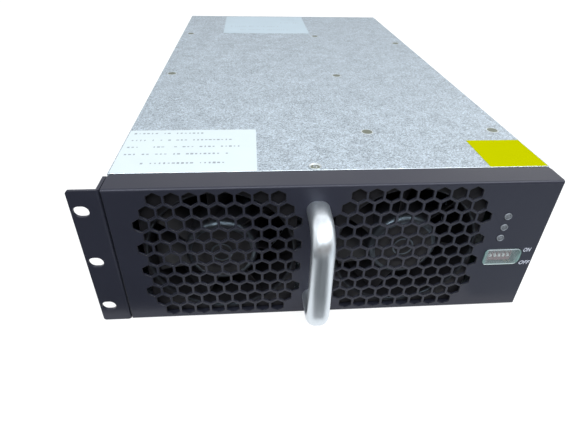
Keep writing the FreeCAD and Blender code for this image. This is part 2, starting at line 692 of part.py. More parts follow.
def core_halves(y, width, depth, height):
    """Two E-shaped ferrite halves, one standing on the other, with their legs meeting half-way up."""
    centre_leg = width * CORE_LEG_SHARE
    yoke = centre_leg / 2
    outer = width / 2
    half = height / 2
    upper = [(-outer, half), (outer, half), (outer, 0), (outer - yoke, 0), (outer - yoke, half - yoke)]
    upper += [(yoke, half - yoke), (yoke, 0), (-yoke, 0), (-yoke, half - yoke)]
    upper += [(yoke - outer, half - yoke), (yoke - outer, 0), (-outer, 0)]
    halves = []
    for flip in (1, -1):
        ring = [Vector(u, y - depth / 2, BOARD_TOP + half + flip * v) for u, v in upper]
        halves.append(polygon_face(ring).extrude(Vector(0, depth, 0)))
    return Part.makeCompound(halves)


def winding_block(y, width, depth, height):
    """Wound coil former round the core's centre leg, standing out at the front and rear."""
    centre_leg = width * CORE_LEG_SHARE
    yoke = centre_leg / 2
    room = width / 2 - yoke - WINDING_PLAY
    low = BOARD_TOP + yoke + WINDING_PLAY
    high = BOARD_TOP + height - yoke - WINDING_PLAY
    reach = depth / 2 + WINDING_BULGE
    block = box(-room, room, y - reach, y + reach, low, high)
    block = block.makeFillet(WINDING_CORNER, upright_edges(block))
    leg_half = yoke + WINDING_PLAY
    leg_reach = depth / 2 + WINDING_PLAY
    return block.cut(box(-leg_half, leg_half, y - leg_reach, y + leg_reach, 0, BODY_HEIGHT))


def bus_capacitors():
    """Row of upright cans behind the fans."""
    room = INNER_SIDE - BOARD_SIDE_GAP - STANDOFF_INSET - CAPACITOR_DIAMETER / 2
    count = int(2 * room / CAPACITOR_PITCH) + 1
    cans = []
    for i in range(count):
        foot = Vector((i - (count - 1) / 2) * CAPACITOR_PITCH, CAPACITOR_ROW_Y, BOARD_TOP)
        cans.append(rod(CAPACITOR_DIAMETER, foot, foot + AXIS_Z * CAPACITOR_HEIGHT))
    return Part.makeCompound(cans)


def block_row(columns, y, width, depth, height):
    """Upright moulded blocks standing on the main board."""
    blocks = []
    for x in columns:
        blocks.append(
            box(x - width / 2, x + width / 2, y - depth / 2, y + depth / 2, BOARD_TOP, BOARD_TOP + height)
        )
    return Part.makeCompound(blocks)


def film_capacitors():
    pitch = FILM_WIDTH + ZONE_GAP
    columns = [(i - (FILM_COUNT - 1) / 2) * pitch for i in range(FILM_COUNT)]
    return block_row(columns, FILM_ROW_Y, FILM_WIDTH, FILM_DEPTH, FILM_HEIGHT)


def relays():
    x = CHOKE_WIDTH / 2 + ZONE_GAP + RELAY_WIDTH / 2
    return block_row([-x, x], CHOKE_Y, RELAY_WIDTH, RELAY_DEPTH, RELAY_HEIGHT)


def driver_card():
    front = INDUCTOR_Y - CARD_LENGTH / 2
    return box(
        CARD_X, CARD_X + BOARD_THICKNESS, front, front + CARD_LENGTH, BOARD_TOP, BOARD_TOP + CARD_HEIGHT
    )


def blade_slot_columns():
    return [(i - (BLADE_SLOT_COUNT - 1) / 2) * BLADE_SLOT_PITCH for i in range(BLADE_SLOT_COUNT)]


def power_connector():
    """Blind-mate block on the main board: slots for blades between two guide holes."""
    half = CONNECTOR_WIDTH / 2
    face = BODY_DEPTH + CONNECTOR_PROUD
    middle = BOARD_TOP + CONNECTOR_HEIGHT / 2
    nose = rounded_block(0, middle, CONNECTOR_WIDTH, CONNECTOR_HEIGHT, BEND, face - CONNECTOR_DEPTH, face)
    shoulder = box(
        -half, half, CONNECTOR_FRONT, face - CONNECTOR_DEPTH, BOARD_TOP, BOARD_TOP + CONNECTOR_HEIGHT
    )
    cuts = []
    for side in (-1, 1):
        mouth = Vector(side * GUIDE_SPACING / 2, face, middle)
        cuts.append(rod(GUIDE_DIAMETER, mouth, mouth - AXIS_Y * GUIDE_DEPTH))
    for x in blade_slot_columns():
        half_slot = BLADE_SLOT_WIDTH / 2
        half_height = BLADE_SLOT_HEIGHT / 2
        cuts.append(
            box(
                x - half_slot, x + half_slot, face - BLADE_SLOT_DEPTH, face + SHEET,
                middle - half_height, middle + half_height,
            )
        )
    return fuse([nose, shoulder]).cut(cuts)


def power_contacts():
    """Contact plates at the bottom of the blade slots."""
    floor = BODY_DEPTH + CONNECTOR_PROUD - BLADE_SLOT_DEPTH
    middle = BOARD_TOP + CONNECTOR_HEIGHT / 2
    half_height = BLADE_SLOT_HEIGHT / 2 - FIT
    plates = []
    for x in blade_slot_columns():
        outer = x + BLADE_SLOT_WIDTH / 2
        plates.append(
            box(
                outer - BLADE_SLOT_WIDTH / 4, outer, floor, floor + CONTACT_LENGTH,
                middle - half_height, middle + half_height,
            )
        )
    return Part.makeCompound(plates)


def cover_label(x0, x1, y0, y1):
    return box(x0, x1, y0, y1, BODY_HEIGHT, BODY_HEIGHT + LABEL_THICKNESS)


def labels():
    front = COVER_FRONT + LABEL_EDGE
    left = LABEL_EDGE - SIDE
    right = SIDE - LABEL_EDGE
    rear = BODY_DEPTH - REAR_LABEL_FROM_REAR
    rear_left = REAR_LABEL_X - REAR_LABEL_WIDTH / 2
    white = cover_label(left, left + WHITE_LABEL_WIDTH, front, front + WHITE_LABEL_DEPTH)
    return {
        "white_label": white.makeFillet(WHITE_LABEL_CORNER, upright_edges(white)),
        "yellow_label": cover_label(right - YELLOW_LABEL_WIDTH, right, front, front + YELLOW_LABEL_DEPTH),
        "rear_label": cover_label(rear_left, rear_left + REAR_LABEL_WIDTH, rear - REAR_LABEL_DEPTH, rear),
    }


def enclosure():
    return {
        "chassis_tray": chassis_tray(),
        "top_cover": top_cover(),
        "front_panel": front_panel(),
        "rear_panel": rear_panel(),
        "ear_bracket": ear_bracket(),
        "handle": handle(),
        "fan_bracket": fan_bracket(),
        "cover_rail": cover_rail(),
        "cover_screw": cover_screw(),
    }


def fans():
    pieces = {}
    for name, fan_x in zip(("left", "right"), FAN_X):
        pieces["fan_frame_" + name] = fan_frame(fan_x)
        pieces["fan_rotor_" + name] = fan_rotor(fan_x)
    return pieces


def controls():
    pieces = {
        "control_board": control_board(),
        "board_spacers": board_spacers(),
        "window_lens": window_lens(),
        "switch_body": switch_body(),
    }
    for i, z in enumerate(lamp_heights(), start=1):
        pieces[f"lamp_{i}"] = lamp(z)
    for i, x in enumerate(switch_columns(), start=1):
        pieces[f"switch_slider_{i}"] = switch_slider(x)
    return pieces


def power_parts():
    transformer = (TRANSFORMER_Y, TRANSFORMER_WIDTH, TRANSFORMER_DEPTH, TRANSFORMER_HEIGHT)
    inductor = (INDUCTOR_Y, INDUCTOR_WIDTH, INDUCTOR_DEPTH, INDUCTOR_HEIGHT)
    choke = (CHOKE_Y, CHOKE_WIDTH, CHOKE_DEPTH, CHOKE_HEIGHT)
    return {
        "main_board": main_board(),
        "board_standoffs": board_standoffs(),
        "heatsink_left": heatsink(-1),
        "heatsink_right": heatsink(1),
        "transistors_left": transistors(-1),
        "transistors_right": transistors(1),
        "transformer_core": core_halves(*transformer),
        "transformer_winding": winding_block(*transformer),
        "inductor_core": core_halves(*inductor),
        "inductor_winding": winding_block(*inductor),
        "choke_core": core_halves(*choke),
        "choke_winding": winding_block(*choke),
        "bus_capacitors": bus_capacitors(),
        "film_capacitors": film_capacitors(),
        "relays": relays(),
        "driver_card": driver_card(),
        "power_connector": power_connector(),
        "power_contacts": power_contacts(),
    }


def main():
    os.makedirs("parts", exist_ok=True)
    pieces = {**enclosure(), **fans(), **controls(), **power_parts(), **labels()}
    to_origin = Vector(0, -BODY_DEPTH / 2, 0)
    for name, shape in pieces.items():
        shape.translated(to_origin).exportStep(f"parts/{name}.step")


main()
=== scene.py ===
"""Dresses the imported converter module: finishes, small fittings, print, floor, light and camera."""
import json
import math

import bmesh
import bpy
from bpy.props import FloatProperty, FloatVectorProperty, IntProperty, PointerProperty
from mathutils import Euler, Matrix, Vector

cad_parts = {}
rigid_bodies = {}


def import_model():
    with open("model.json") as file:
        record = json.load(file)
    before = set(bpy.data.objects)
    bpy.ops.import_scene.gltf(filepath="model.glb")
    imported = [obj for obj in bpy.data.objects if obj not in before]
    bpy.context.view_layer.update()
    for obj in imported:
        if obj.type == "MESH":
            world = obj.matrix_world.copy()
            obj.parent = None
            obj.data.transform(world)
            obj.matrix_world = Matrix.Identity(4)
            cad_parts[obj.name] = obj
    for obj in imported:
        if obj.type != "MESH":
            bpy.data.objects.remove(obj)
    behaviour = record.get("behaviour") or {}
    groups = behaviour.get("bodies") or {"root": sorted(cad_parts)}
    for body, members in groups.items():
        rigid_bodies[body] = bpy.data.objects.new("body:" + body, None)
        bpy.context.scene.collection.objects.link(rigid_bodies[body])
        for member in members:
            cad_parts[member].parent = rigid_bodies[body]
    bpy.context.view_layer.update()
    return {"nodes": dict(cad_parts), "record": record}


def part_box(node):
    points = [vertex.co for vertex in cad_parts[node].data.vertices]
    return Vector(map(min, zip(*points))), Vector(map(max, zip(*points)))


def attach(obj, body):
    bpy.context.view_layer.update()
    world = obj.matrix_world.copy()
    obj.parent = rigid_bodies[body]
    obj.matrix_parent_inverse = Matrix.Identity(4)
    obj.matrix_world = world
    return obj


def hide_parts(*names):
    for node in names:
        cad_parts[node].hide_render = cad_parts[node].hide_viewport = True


bl_info = {
    "name": "Converter Module",
    "version": (1, 0, 0),
    "blender": (4, 5, 0),
    "location": "3D View > Sidebar > Converter",
    "description": "Finishes and fittings of a fan-cooled converter module with a honeycomb front",
    "category": "Object",
}

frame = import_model()
MM = 0.001
MODULE = "module"
SLOT_OF = {part["node"]: part["material_slot"] for part in frame["record"]["subparts"]}

COVER_LOW, COVER_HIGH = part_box("top_cover")
LENS_LOW, LENS_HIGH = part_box("window_lens")
SCREW_LOW, SCREW_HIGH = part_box("cover_screw")
PANEL_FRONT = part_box("front_panel")[0].y
TRAY_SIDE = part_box("chassis_tray")[0].x
SLIDERS = [f"switch_slider_{i}" for i in range(1, 6)]
LAMPS = [f"lamp_{i}" for i in range(1, 4)]
SIDES = ("left", "right")
HUB_RADIUS = 20 * MM
SMOOTH_ANGLE = 35
QUARTER_TURN = math.pi / 2
MERGE_REACH, CAD_MERGE_REACH = 1e-7, 1e-6
PRINT_LIFT = 0.02 * MM
LETTER_LIFT = 0.03 * MM


def linear(red, green, blue):
    """Linear colour of screen values from 0 to 255."""
    shares = (value / 255 for value in (red, green, blue))
    return tuple(v / 12.92 if v <= 0.04045 else ((v + 0.055) / 1.055) ** 2.4 for v in shares)


def length(name, description, default):
    return FloatProperty(name=name, description=description, default=default, unit="LENGTH", precision=5)


def colour(name, description, *screen):
    return FloatVectorProperty(
        name=name, description=description, default=linear(*screen), subtype="COLOR", min=0, max=1
    )


class ConverterSizes(bpy.types.PropertyGroup):
    """Sizes of the fittings and patterns that the dresser adds."""

    edge_roll: length("Edge Roll", "Rounding of the front panel's punched edges", 0.2 * MM)
    cover_hem: length("Cover Hem", "Height of the cover's bright front edge", 0.2 * MM)
    rivet_diameter: length("Rivet Diameter", "Flush rivets in the cover", 6.6 * MM)
    rivet_seat: length("Rivet Seat", "Pressed ring round a rivet", 7.6 * MM)
    rivet_rise: length("Rivet Rise", "Height of a rivet above the sheet", 0.12 * MM)
    screw_rise: FloatProperty(
        name="Screw Rise", description="Height of a screw head on its diameter",
        default=0.2, min=0, subtype="FACTOR",
    )
    small_screw: length("Small Screw", "Head diameter of the case screws", 5.6 * MM)
    hub_round: length("Hub Rounding", "Rounding of the fan hub's front rim", 4.0 * MM)
    fan_lip: length("Fan Lip", "Rounding of the fan's inlet lip", 1.4 * MM)
    blade_count: IntProperty(name="Blades", description="Blades of a fan", default=7, min=3, max=15)
    blade_thickness: length("Blade Thickness", "Thickness of a fan blade", 1.5 * MM)
    blade_reach: length("Blade Reach", "Radius that the blade tips sweep", 37.2 * MM)
    lamp_dome: length("Lamp Dome", "Rise of the lamp's dome", 0.35 * MM)
    lens_bevel: length("Lens Bevel", "Rounding of the window's edge", 0.3 * MM)
    lens_offset: length("Lens Offset", "How far the window's front sits left of its hole", 0.9 * MM)
    lens_corner: length("Lens Corner", "Rounding of the window's corners in front of the panel", 2.6 * MM)
    letter_height: length("Letter Height", "Height of the switch lettering", 2.7 * MM)
    letter_width: length("Letter Width", "Room of one letter of the switch lettering", 2.15 * MM)
    zinc_fleck: length("Zinc Fleck", "Size of the flecks in the zinc coat", 0.6 * MM)
    paint_grain: length("Paint Grain", "Size of the grain in the paint", 0.7 * MM)
    mark_height: length("Mark Height", "Height of the labels' print marks", 2.0 * MM)
    mark_pitch: length("Mark Pitch", "Distance between the labels' print marks", 2.2 * MM)


class ConverterColours(bpy.types.PropertyGroup):
    """Colours of the finishes."""

    zinc: colour("Zinc", "Zinc coat of the case", 177, 187, 196)
    paint: colour("Paint", "Charcoal paint of the front", 42, 43, 54)
    # The rims' darker paint is a painted shade round the holes.
    rim_shade: colour("Rim Shade", "Thin paint on the punched edges", 24, 24, 27)
    aluminium: colour("Aluminium", "Satin handle", 220, 227, 233)
    steel: colour("Steel", "Screws", 205, 206, 202)
    rivet: colour("Rivet", "Matt rivet heads", 112, 116, 104)
    # Also the colour of the painted highlight along the window's edges.
    bare_edge_and_highlight: colour("Bare Edge", "Cut edges of the cover", 214, 222, 228)
    rivet_ring: colour("Rivet Ring", "Pressed rings round the rivets", 200, 206, 208)
    fan: colour("Fan", "Fan plastic", 31, 30, 33)
    board: colour("Board", "Circuit boards", 11, 19, 16)
    lens: colour("Lens", "Dense parts of the clear window", 112, 150, 144)
    lens_haze: colour("Lens Haze", "Clear middle of the window", 178, 188, 190)
    switch: colour("Switch", "Switch body", 150, 90, 90)
    slider: colour("Slider", "Switch sliders", 250, 251, 248)
    lamp: colour("Lamp", "Lamps that are off", 104, 107, 112)
    lamp_collar: colour("Lamp Collar", "Rings round the lamps", 142, 146, 152)
    print_white: colour("Print", "Lettering on the paint", 226, 228, 240)
    paper: colour("Paper", "White label", 213, 221, 223)
    film: colour("Film", "Pale film of the rear label", 191, 203, 211)
    yellow: colour("Yellow", "Yellow label", 181, 182, 0)
    mark: colour("Mark", "Faint print on the labels", 150, 156, 161)


class ConverterStage(bpy.types.PropertyGroup):
    """Light, floor and camera."""

    floor_half: length("Floor Half", "Half the floor's side", 12.0)
    sky_strength: FloatProperty(name="Sky", description="Strength of the sky as a lamp", default=0.38, min=0)
    softbox_power: FloatProperty(
        name="Softbox", description="Power of the rear softbox", default=4.4, min=0, unit="POWER"
    )
    window_power: FloatProperty(
        name="Window", description="Power of the bright window in front", default=47.5, min=0, unit="POWER"
    )
    lens_length: FloatProperty(
        name="Lens", description="Focal length of the camera", default=27.32, min=1, unit="CAMERA"
    )


def sizes():
    return bpy.context.scene.converter_sizes


def colours():
    return bpy.context.scene.converter_colours


def middle(node):
    low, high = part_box(node)
    return (low + high) / 2


NOISE_RANGE = (0.3, 0.7)


class Desk:
    """Adds and joins the nodes of one tree."""

    def __init__(self, tree):
        self.tree = tree

    def add(self, kind, inputs=None, **settings):
        node = self.tree.nodes.new(kind)
        for name, value in settings.items():
            setattr(node, name, value)
        for name, value in (inputs or {}).items():
            self.feed(node.inputs[name], value)
        return node

    def feed(self, socket, value):
        if isinstance(value, bpy.types.NodeSocket):
            self.tree.links.new(value, socket)
        else:
            socket.default_value = value

    def math(self, operation, *values):
        return self.add("ShaderNodeMath", dict(enumerate(values)), operation=operation).outputs[0]

    def vector(self, operation, inputs):
        return self.add("ShaderNodeVectorMath", inputs, operation=operation).outputs

    def remap(self, value, low, high, to_low=0.0, to_high=1.0):
        spread = {"Value": value, "From Min": low, "From Max": high, "To Min": to_low, "To Max": to_high}
        return self.add("ShaderNodeMapRange", spread).outputs["Result"]

    def mix(self, share, first, second):
        return self.add("ShaderNodeMix", {0: share, 6: first, 7: second}, data_type="RGBA").outputs[2]

    def place(self):
        return self.add("ShaderNodeTexCoord").outputs["Object"]

    def noise(self, place, scale, detail):
        """Noise spread from 0 to 1."""
        grey = self.add("ShaderNodeTexNoise", {"Vector": place, "Scale": scale, "Detail": detail})
        return self.remap(grey.outputs["Fac"], *NOISE_RANGE)


def opaque(colour_value, factor=1.0):
    return (*(min(1.0, c * factor) for c in colour_value), 1.0)


def shades(base, dark, pale):
    """The darker and the paler tone of a colour."""
    return opaque(base, dark), opaque(base, pale)


def floats(*names):
    return dict.fromkeys(names, "Float")


def new_tree(name, kind, inputs, outputs):
    """Empty node group with sockets given by name and type, its desk and the sockets of its two ends."""
    tree = bpy.data.node_groups.new(name, kind)
    for way, sockets in (("INPUT", inputs), ("OUTPUT", outputs)):
        for socket, value_type in sockets.items():
            tree.interface.new_socket(socket, in_out=way, socket_type="NodeSocket" + value_type)
    desk = Desk(tree)
    return tree, desk, desk.add("NodeGroupInput").outputs, desk.add("NodeGroupOutput").inputs


def built_once(name):
    """Builds a node tree at the first call, and finds it by its name after that."""
    def keep(build):
        return lambda: bpy.data.node_groups.get(name) or build(name)
    return keep


FLECK_BEND = 1.2
FINE_PER_FLECK = 2.6
PATCH_SCALE = 110.0


@built_once("Zinc Flecks")
def zinc_group(name):
    """Zinc coat: a random shade for each fleck, broken edges, and large soft patches."""
    ends = floats("Fleck Size"), floats("Fleck", "Fine", "Patch")
    tree, desk, start, end = new_tree(name, "ShaderNodeTree", *ends)
    place = desk.place()
    scale = desk.math("DIVIDE", 1.0, start["Fleck Size"])
    bend = desk.add("ShaderNodeTexNoise", {"Vector": place, "Scale": scale, "Detail": 2.0})
    reach = desk.math("MULTIPLY", start["Fleck Size"], FLECK_BEND)
    shift = desk.vector("SCALE", {0: bend.outputs["Color"], "Scale": reach})[0]
    moved = desk.vector("ADD", {0: place, 1: shift})[0]
    cells = desk.add("ShaderNodeTexVoronoi", {"Vector": moved, "Scale": scale})
    shade = desk.add("ShaderNodeSeparateColor", {"Color": cells.outputs["Color"]})
    desk.feed(end["Fleck"], shade.outputs["Red"])
    fine_scale = desk.math("MULTIPLY", scale, FINE_PER_FLECK)
    desk.feed(end["Fine"], desk.noise(place, fine_scale, detail=3.0))
    desk.feed(end["Patch"], desk.noise(place, PATCH_SCALE, detail=5.0))
    return tree


@built_once("Surface Grain")
def grain_group(name):
    """Fine grain of paint and plastic with soft smudges."""
    ends = floats("Grain Size", "Smudge Size"), floats("Grain", "Smudge")
    tree, desk, start, end = new_tree(name, "ShaderNodeTree", *ends)
    place = desk.place()
    for source, detail, target in (("Grain Size", 2.0, "Grain"), ("Smudge Size", 4.0, "Smudge")):
        desk.feed(end[target], desk.noise(place, desk.math("DIVIDE", 1.0, start[source]), detail))
    return tree


@built_once("Drawn Streaks")
def streak_group(name):
    """Fine drawn streaks along one axis, given by how far each axis is squeezed."""
    ends = floats("Across X", "Across Y", "Across Z"), floats("Streak")
    tree, desk, start, end = new_tree(name, "ShaderNodeTree", *ends)
    stretch = desk.add("ShaderNodeCombineXYZ", {axis: start["Across " + axis] for axis in "XYZ"})
    squeezed = desk.vector("MULTIPLY", {0: desk.place(), 1: stretch.outputs[0]})[0]
    desk.feed(end["Streak"], desk.noise(squeezed, scale=1.0, detail=3.0))
    return tree


class Surface(Desk):
    """Material with one Principled shader, whose plain numbers are set on its own sockets."""

    def __init__(self, name, constants=None):
        self.material = bpy.data.materials.new(name)
        self.material.use_nodes = True
        super().__init__(self.material.node_tree)
        self.shader = self.tree.nodes["Principled BSDF"].inputs
        for socket, value in (constants or {}).items():
            self.shader[socket].default_value = value

    def group(self, tree, inputs):
        return self.add("ShaderNodeGroup", inputs, node_tree=tree).outputs

    def paint(self, base, roughness):
        self.feed(self.shader["Base Color"], base)
        self.feed(self.shader["Roughness"], roughness)

    def bump(self, height, strength, distance):
        node = self.add("ShaderNodeBump", {"Height": height, "Strength": strength, "Distance": distance})
        self.feed(self.shader["Normal"], node.outputs["Normal"])


GLOSS_SPREAD = 0.05
GRAIN_BUMP = 0.35


def grained(
    name, base, roughness, constants=None, spread=0.12, grain=0.7 * MM, height=0.03 * MM, smudge=60 * MM
):
    """Plain-coloured paint or plastic with grain, smudges and a little uneven gloss."""
    made = Surface(name, constants)
    grains = made.group(grain_group(), {"Grain Size": grain, "Smudge Size": smudge})
    shade = made.mix(grains["Smudge"], *shades(base, 1 - spread, 1 + spread))
    low, high = roughness - GLOSS_SPREAD, roughness + GLOSS_SPREAD
    made.paint(shade, made.remap(grains["Smudge"], 0, 1, low, high))
    made.bump(grains["Grain"], GRAIN_BUMP, height)
    return made.material


ZINC_METALLIC = 0.35
ZINC_SHARES = {"Fleck": 0.55, "Fine": 0.33, "Patch": 0.12}
ZINC_SHADES = (0.12, 1.66)
ZINC_ROUGHNESS = (0.4, 0.58)


def zinc_finish():
    """Galvanized sheet: small flecks of several greys with fine bright breaks."""
    made = Surface("galvanized sheet", {"Metallic": ZINC_METALLIC})
    coat = made.group(zinc_group(), {"Fleck Size": sizes().zinc_fleck})
    shade = 0.0
    for layer, share in ZINC_SHARES.items():
        shade = made.math("MULTIPLY_ADD", coat[layer], share, shade)
    tone = made.mix(shade, *shades(colours().zinc, *ZINC_SHADES))
    made.paint(tone, made.remap(coat["Fleck"], 0, 1, *ZINC_ROUGHNESS))
    made.bump(coat["Fine"], strength=0.3, distance=0.02 * MM)
    return made.material


# How far a metal's streaks are squeezed along each axis.
EVEN_GRAIN = (700.0, 700.0, 700.0)
DRAWN_UPRIGHT = (900.0, 900.0, 60.0)


def streaked_metal(name, base, roughness, across, spread=0.1, metallic=1.0, uneven=0.07):
    """Metal with drawn or brushed streaks."""
    made = Surface(name, {"Metallic": metallic})
    inputs = {"Across " + axis: value for axis, value in zip("XYZ", across)}
    streak = made.group(streak_group(), inputs)["Streak"]
    shade = made.mix(streak, *shades(base, 1 - spread, 1 + spread))
    made.paint(shade, made.remap(streak, 0, 1, roughness - uneven, roughness + uneven))
    made.bump(streak, strength=0.15, distance=0.02 * MM)
    return made.material


def plain_metal(name, base, roughness):
    """Metal with a fine, even grain."""
    return streaked_metal(name, base, roughness, EVEN_GRAIN, spread=0.08)


BOARD_CELLS = {"Scale": 160.0, "Randomness": 0.6}
TRACE_EDGE = (0.42, 0.5)
BOARD_SHADES = (0.8, 1.7)
BOARD_ROUGHNESS = (0.45, 0.3)


def board_finish():
    """Dark board with paler traces and pads."""
    made = Surface("board", {"Coat Weight": 0.2})
    cells = {"Vector": made.place(), **BOARD_CELLS}
    edges = made.add("ShaderNodeTexVoronoi", cells, distance="MANHATTAN")
    trace = made.remap(edges.outputs["Distance"], *TRACE_EDGE)
    tone = made.mix(trace, *shades(colours().board, *BOARD_SHADES))
    made.paint(tone, made.remap(trace, 0, 1, *BOARD_ROUGHNESS))
    return made.material


TAPE_WAVES = {"Scale": 160.0, "Distortion": 0.4, "Detail": 2.0}
TAPE_TONES = ((0.42, 0.24, 0.03, 1), (0.66, 0.42, 0.08, 1))
TAPE_ROUGHNESS = (0.5, 0.35)


def winding_finish():
    """Yellow tape wound in level turns."""
    made = Surface("winding tape")
    waves = {"Vector": made.place(), **TAPE_WAVES}
    turns = made.add("ShaderNodeTexWave", waves, bands_direction="Z").outputs["Fac"]
    made.paint(made.mix(turns, *TAPE_TONES), made.remap(turns, 0, 1, *TAPE_ROUGHNESS))
    made.bump(turns, strength=0.3, distance=0.1 * MM)
    return made.material


SLEEVE_GRAIN = {"Grain Size": 2 * MM, "Smudge Size": 30 * MM}
SLEEVE_TONES = ((0.012, 0.015, 0.03, 1), (0.02, 0.026, 0.05, 1))
SLEEVE_ROUGHNESS = (0.28, 0.4)


def sleeve_finish():
    """Dark shrunk sleeve of a can, with soft smudges."""
    made = Surface("can sleeve", {"Coat Weight": 0.15})
    smudge = made.group(grain_group(), SLEEVE_GRAIN)["Smudge"]
    made.paint(made.mix(smudge, *SLEEVE_TONES), made.remap(smudge, 0, 1, *SLEEVE_ROUGHNESS))
    return made.material


# Its emission strength lights the painted glow on the window's lower edge.
LENS_SHADER = {"IOR": 1.49, "Coat Weight": 0.4, "Roughness": 0.12, "Emission Strength": 0.8}
# Masks on the window: how dense the plastic is, a painted highlight line along the edges, and a painted glow
# along the lower edge.
LENS_MASKS = ("rim", "edge", "glow")
LENS_RIM = 1.4 * MM
LENS_ALPHA = (0.23, 0.85)
# The plastic grows dense across the switch's end: from and to beside it, and how dense it gets.
LENS_FADE, LENS_BESIDE = (-1 * MM, 2 * MM), 0.8
LENS_SHADE = 0.25
# Colour of the painted glow on the window's lower edge.
PAINTED_EDGE_GLOW = (0.85, 1.0, 0.97, 1)
BLACK = (0, 0, 0, 1)


def lens_finish():
    """Clear plastic, denser and greener towards its rim and beside the switch, with a painted highlight
    along its edges and a painted glow along its lower edge.
    """
    made = Surface("clear plastic", LENS_SHADER)
    masks = [made.add("ShaderNodeAttribute", attribute_name=name).outputs["Fac"] for name in LENS_MASKS]
    rim, edge, glow = masks
    axes = made.add("ShaderNodeSeparateXYZ", {"Vector": made.place()}).outputs
    fade = [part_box("switch_body")[1].x + step for step in LENS_FADE]
    beside = made.remap(axes["X"], *fade, 0, LENS_BESIDE)
    above = made.remap(axes["Z"], middle("window_lens").z, LENS_HIGH.z - LENS_RIM)
    dense = made.math("MAXIMUM", rim, beside)
    body = made.mix(dense, opaque(colours().lens_haze), opaque(colours().lens))
    body = made.mix(made.math("MULTIPLY", beside, above), body, opaque(colours().lens, LENS_SHADE))
    # Painted highlight: the edge mask paints pale lines along the window's edges, and makes them opaque
    # below.
    made.feed(made.shader["Base Color"], made.mix(edge, body, opaque(colours().bare_edge_and_highlight)))
    # Painted glow: the lower edge gives off light, though the plastic is no lamp.
    made.feed(made.shader["Emission Color"], made.mix(glow, BLACK, PAINTED_EDGE_GLOW))
    made.feed(made.shader["Alpha"], made.math("MAXIMUM", made.remap(dense, 0, 1, *LENS_ALPHA), edge))
    return made.material


def paper_finish(name, base):
    """Coated label stock with a soft fibre mottle."""
    matt = {"Specular IOR Level": 0.0}
    return grained(name, base, 0.5, matt, spread=0.02, grain=0.5 * MM, height=0.008 * MM, smudge=25 * MM)


def fan_plastic(name, roughness, level):
    return grained(name, colours().fan, roughness, {"Specular IOR Level": level}, spread=0.15)


# The blue specular tint is painted light: it tints the paint's reflections blue in place of blue skylight.
PAINT_GLOSS_AND_BLUE_TINT = {"Specular Tint": (0.92, 0.92, 1.0, 1), "Specular IOR Level": 0.36}
# Finishes by slot; the number after a colour is the roughness.
FINISHES = {
    "galvanized_sheet": zinc_finish,
    "charcoal_paint": lambda: grained(
        "charcoal paint", colours().paint, 0.4, PAINT_GLOSS_AND_BLUE_TINT,
        spread=0.06, grain=sizes().paint_grain, height=0.02 * MM,
    ),
    "satin_aluminium": lambda: streaked_metal(
        "satin aluminium", colours().aluminium, 0.4, DRAWN_UPRIGHT, spread=0.04, metallic=0.95, uneven=0.03
    ),
    "bright_steel": lambda: plain_metal("bright steel", colours().steel, 0.3),
    "fan_plastic": lambda: fan_plastic("fan plastic", 0.55, 0.2),
    "rotor_plastic": lambda: fan_plastic("rotor plastic", 0.5, 0.25),
    "board": board_finish,
    "post_brass": lambda: plain_metal("post brass", linear(196, 160, 90), 0.32),
    "clear_plastic": lens_finish,
    "red_plastic": lambda: grained("red plastic", colours().switch, 0.4, spread=0.1, smudge=4 * MM),
    "slider_plastic": lambda: grained("slider plastic", colours().slider, 0.4, spread=0.04, smudge=4 * MM),
    "lamp_plastic": lambda: grained("lamp plastic", colours().lamp, 0.22, spread=0.35, smudge=0.7 * MM),
    "black_plastic": lambda: grained("black plastic", linear(30, 30, 32), 0.42, smudge=20 * MM),
    "ferrite": lambda: grained("ferrite", linear(52, 52, 55), 0.55, spread=0.15, smudge=8 * MM),
    "winding_tape": winding_finish,
    "can_sleeve": sleeve_finish,
    "film_case": lambda: grained("film case", linear(150, 40, 36), 0.38, spread=0.08, smudge=20 * MM),
    "contact_brass": lambda: plain_metal("contact brass", linear(206, 172, 104), 0.25),
    "white_label": lambda: paper_finish("white label", colours().paper),
    "yellow_label": lambda: paper_finish("yellow label", colours().yellow),
}


def finish(slot):
    """The material of a record slot, made once and found by its tag."""
    made = next((m for m in bpy.data.materials if m.get("finish_of") == slot), None)
    if made is None:
        made = FINISHES[slot]()
        made["finish_of"] = slot
    return made


def dress(*nodes):
    """Give CAD nodes the finish of their record slot."""
    for node in nodes:
        mesh = frame["nodes"][node].data
        mesh.materials.clear()
        mesh.materials.append(finish(SLOT_OF[node]))


def piece(name, mesh, slot, body=MODULE, material=None, second=None, node=None):
    """Object of a finished mesh that rides on a body and may stand for a CAD node; without a given material
    it takes its slot's finish.
    """
    # Clearing an empty list would still reset which faces take the second finish.
    if mesh.materials:
        mesh.materials.clear()
    mesh.materials.append(material or finish(slot))
    if second:
        mesh.materials.append(second)
    made = bpy.data.objects.new(name, mesh)
    bpy.context.scene.collection.objects.link(made)
    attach(made, body)
    if node:
        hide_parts(node)
    return made


def settled(work, name):
    """Mesh of a finished bmesh."""
    mesh = bpy.data.meshes.new(name)
    work.to_mesh(mesh)
    work.free()
    return mesh


def mesh_of(name, points, faces, smooth=None):
    """Closed mesh with outward normals; edges sharper than smooth degrees stay hard."""
    raw = bpy.data.meshes.new(name)
    raw.from_pydata(points, [], faces)
    work = bmesh.new()
    work.from_mesh(raw)
    bpy.data.meshes.remove(raw)
    bmesh.ops.remove_doubles(work, verts=work.verts, dist=MERGE_REACH)
    bmesh.ops.recalc_face_normals(work, faces=work.faces)
    mesh = settled(work, name)
    if smooth is not None:
        soften(mesh, smooth)
    return mesh


def soften(mesh, degrees):
    for polygon in mesh.polygons:
        polygon.use_smooth = True
    mesh.set_sharp_from_angle(angle=math.radians(degrees))


def capped_rings(count, rings):
    """Faces of a closed form whose points are rings of equal count, one after another."""
    faces = [tuple(range(count)), tuple(range((rings - 1) * count, rings * count))]
    for ring in range(rings - 1):
        for i in range(count):
            a, b = ring * count + i, ring * count + (i + 1) % count
            faces.append((a, b, b + count, a + count))
    return faces


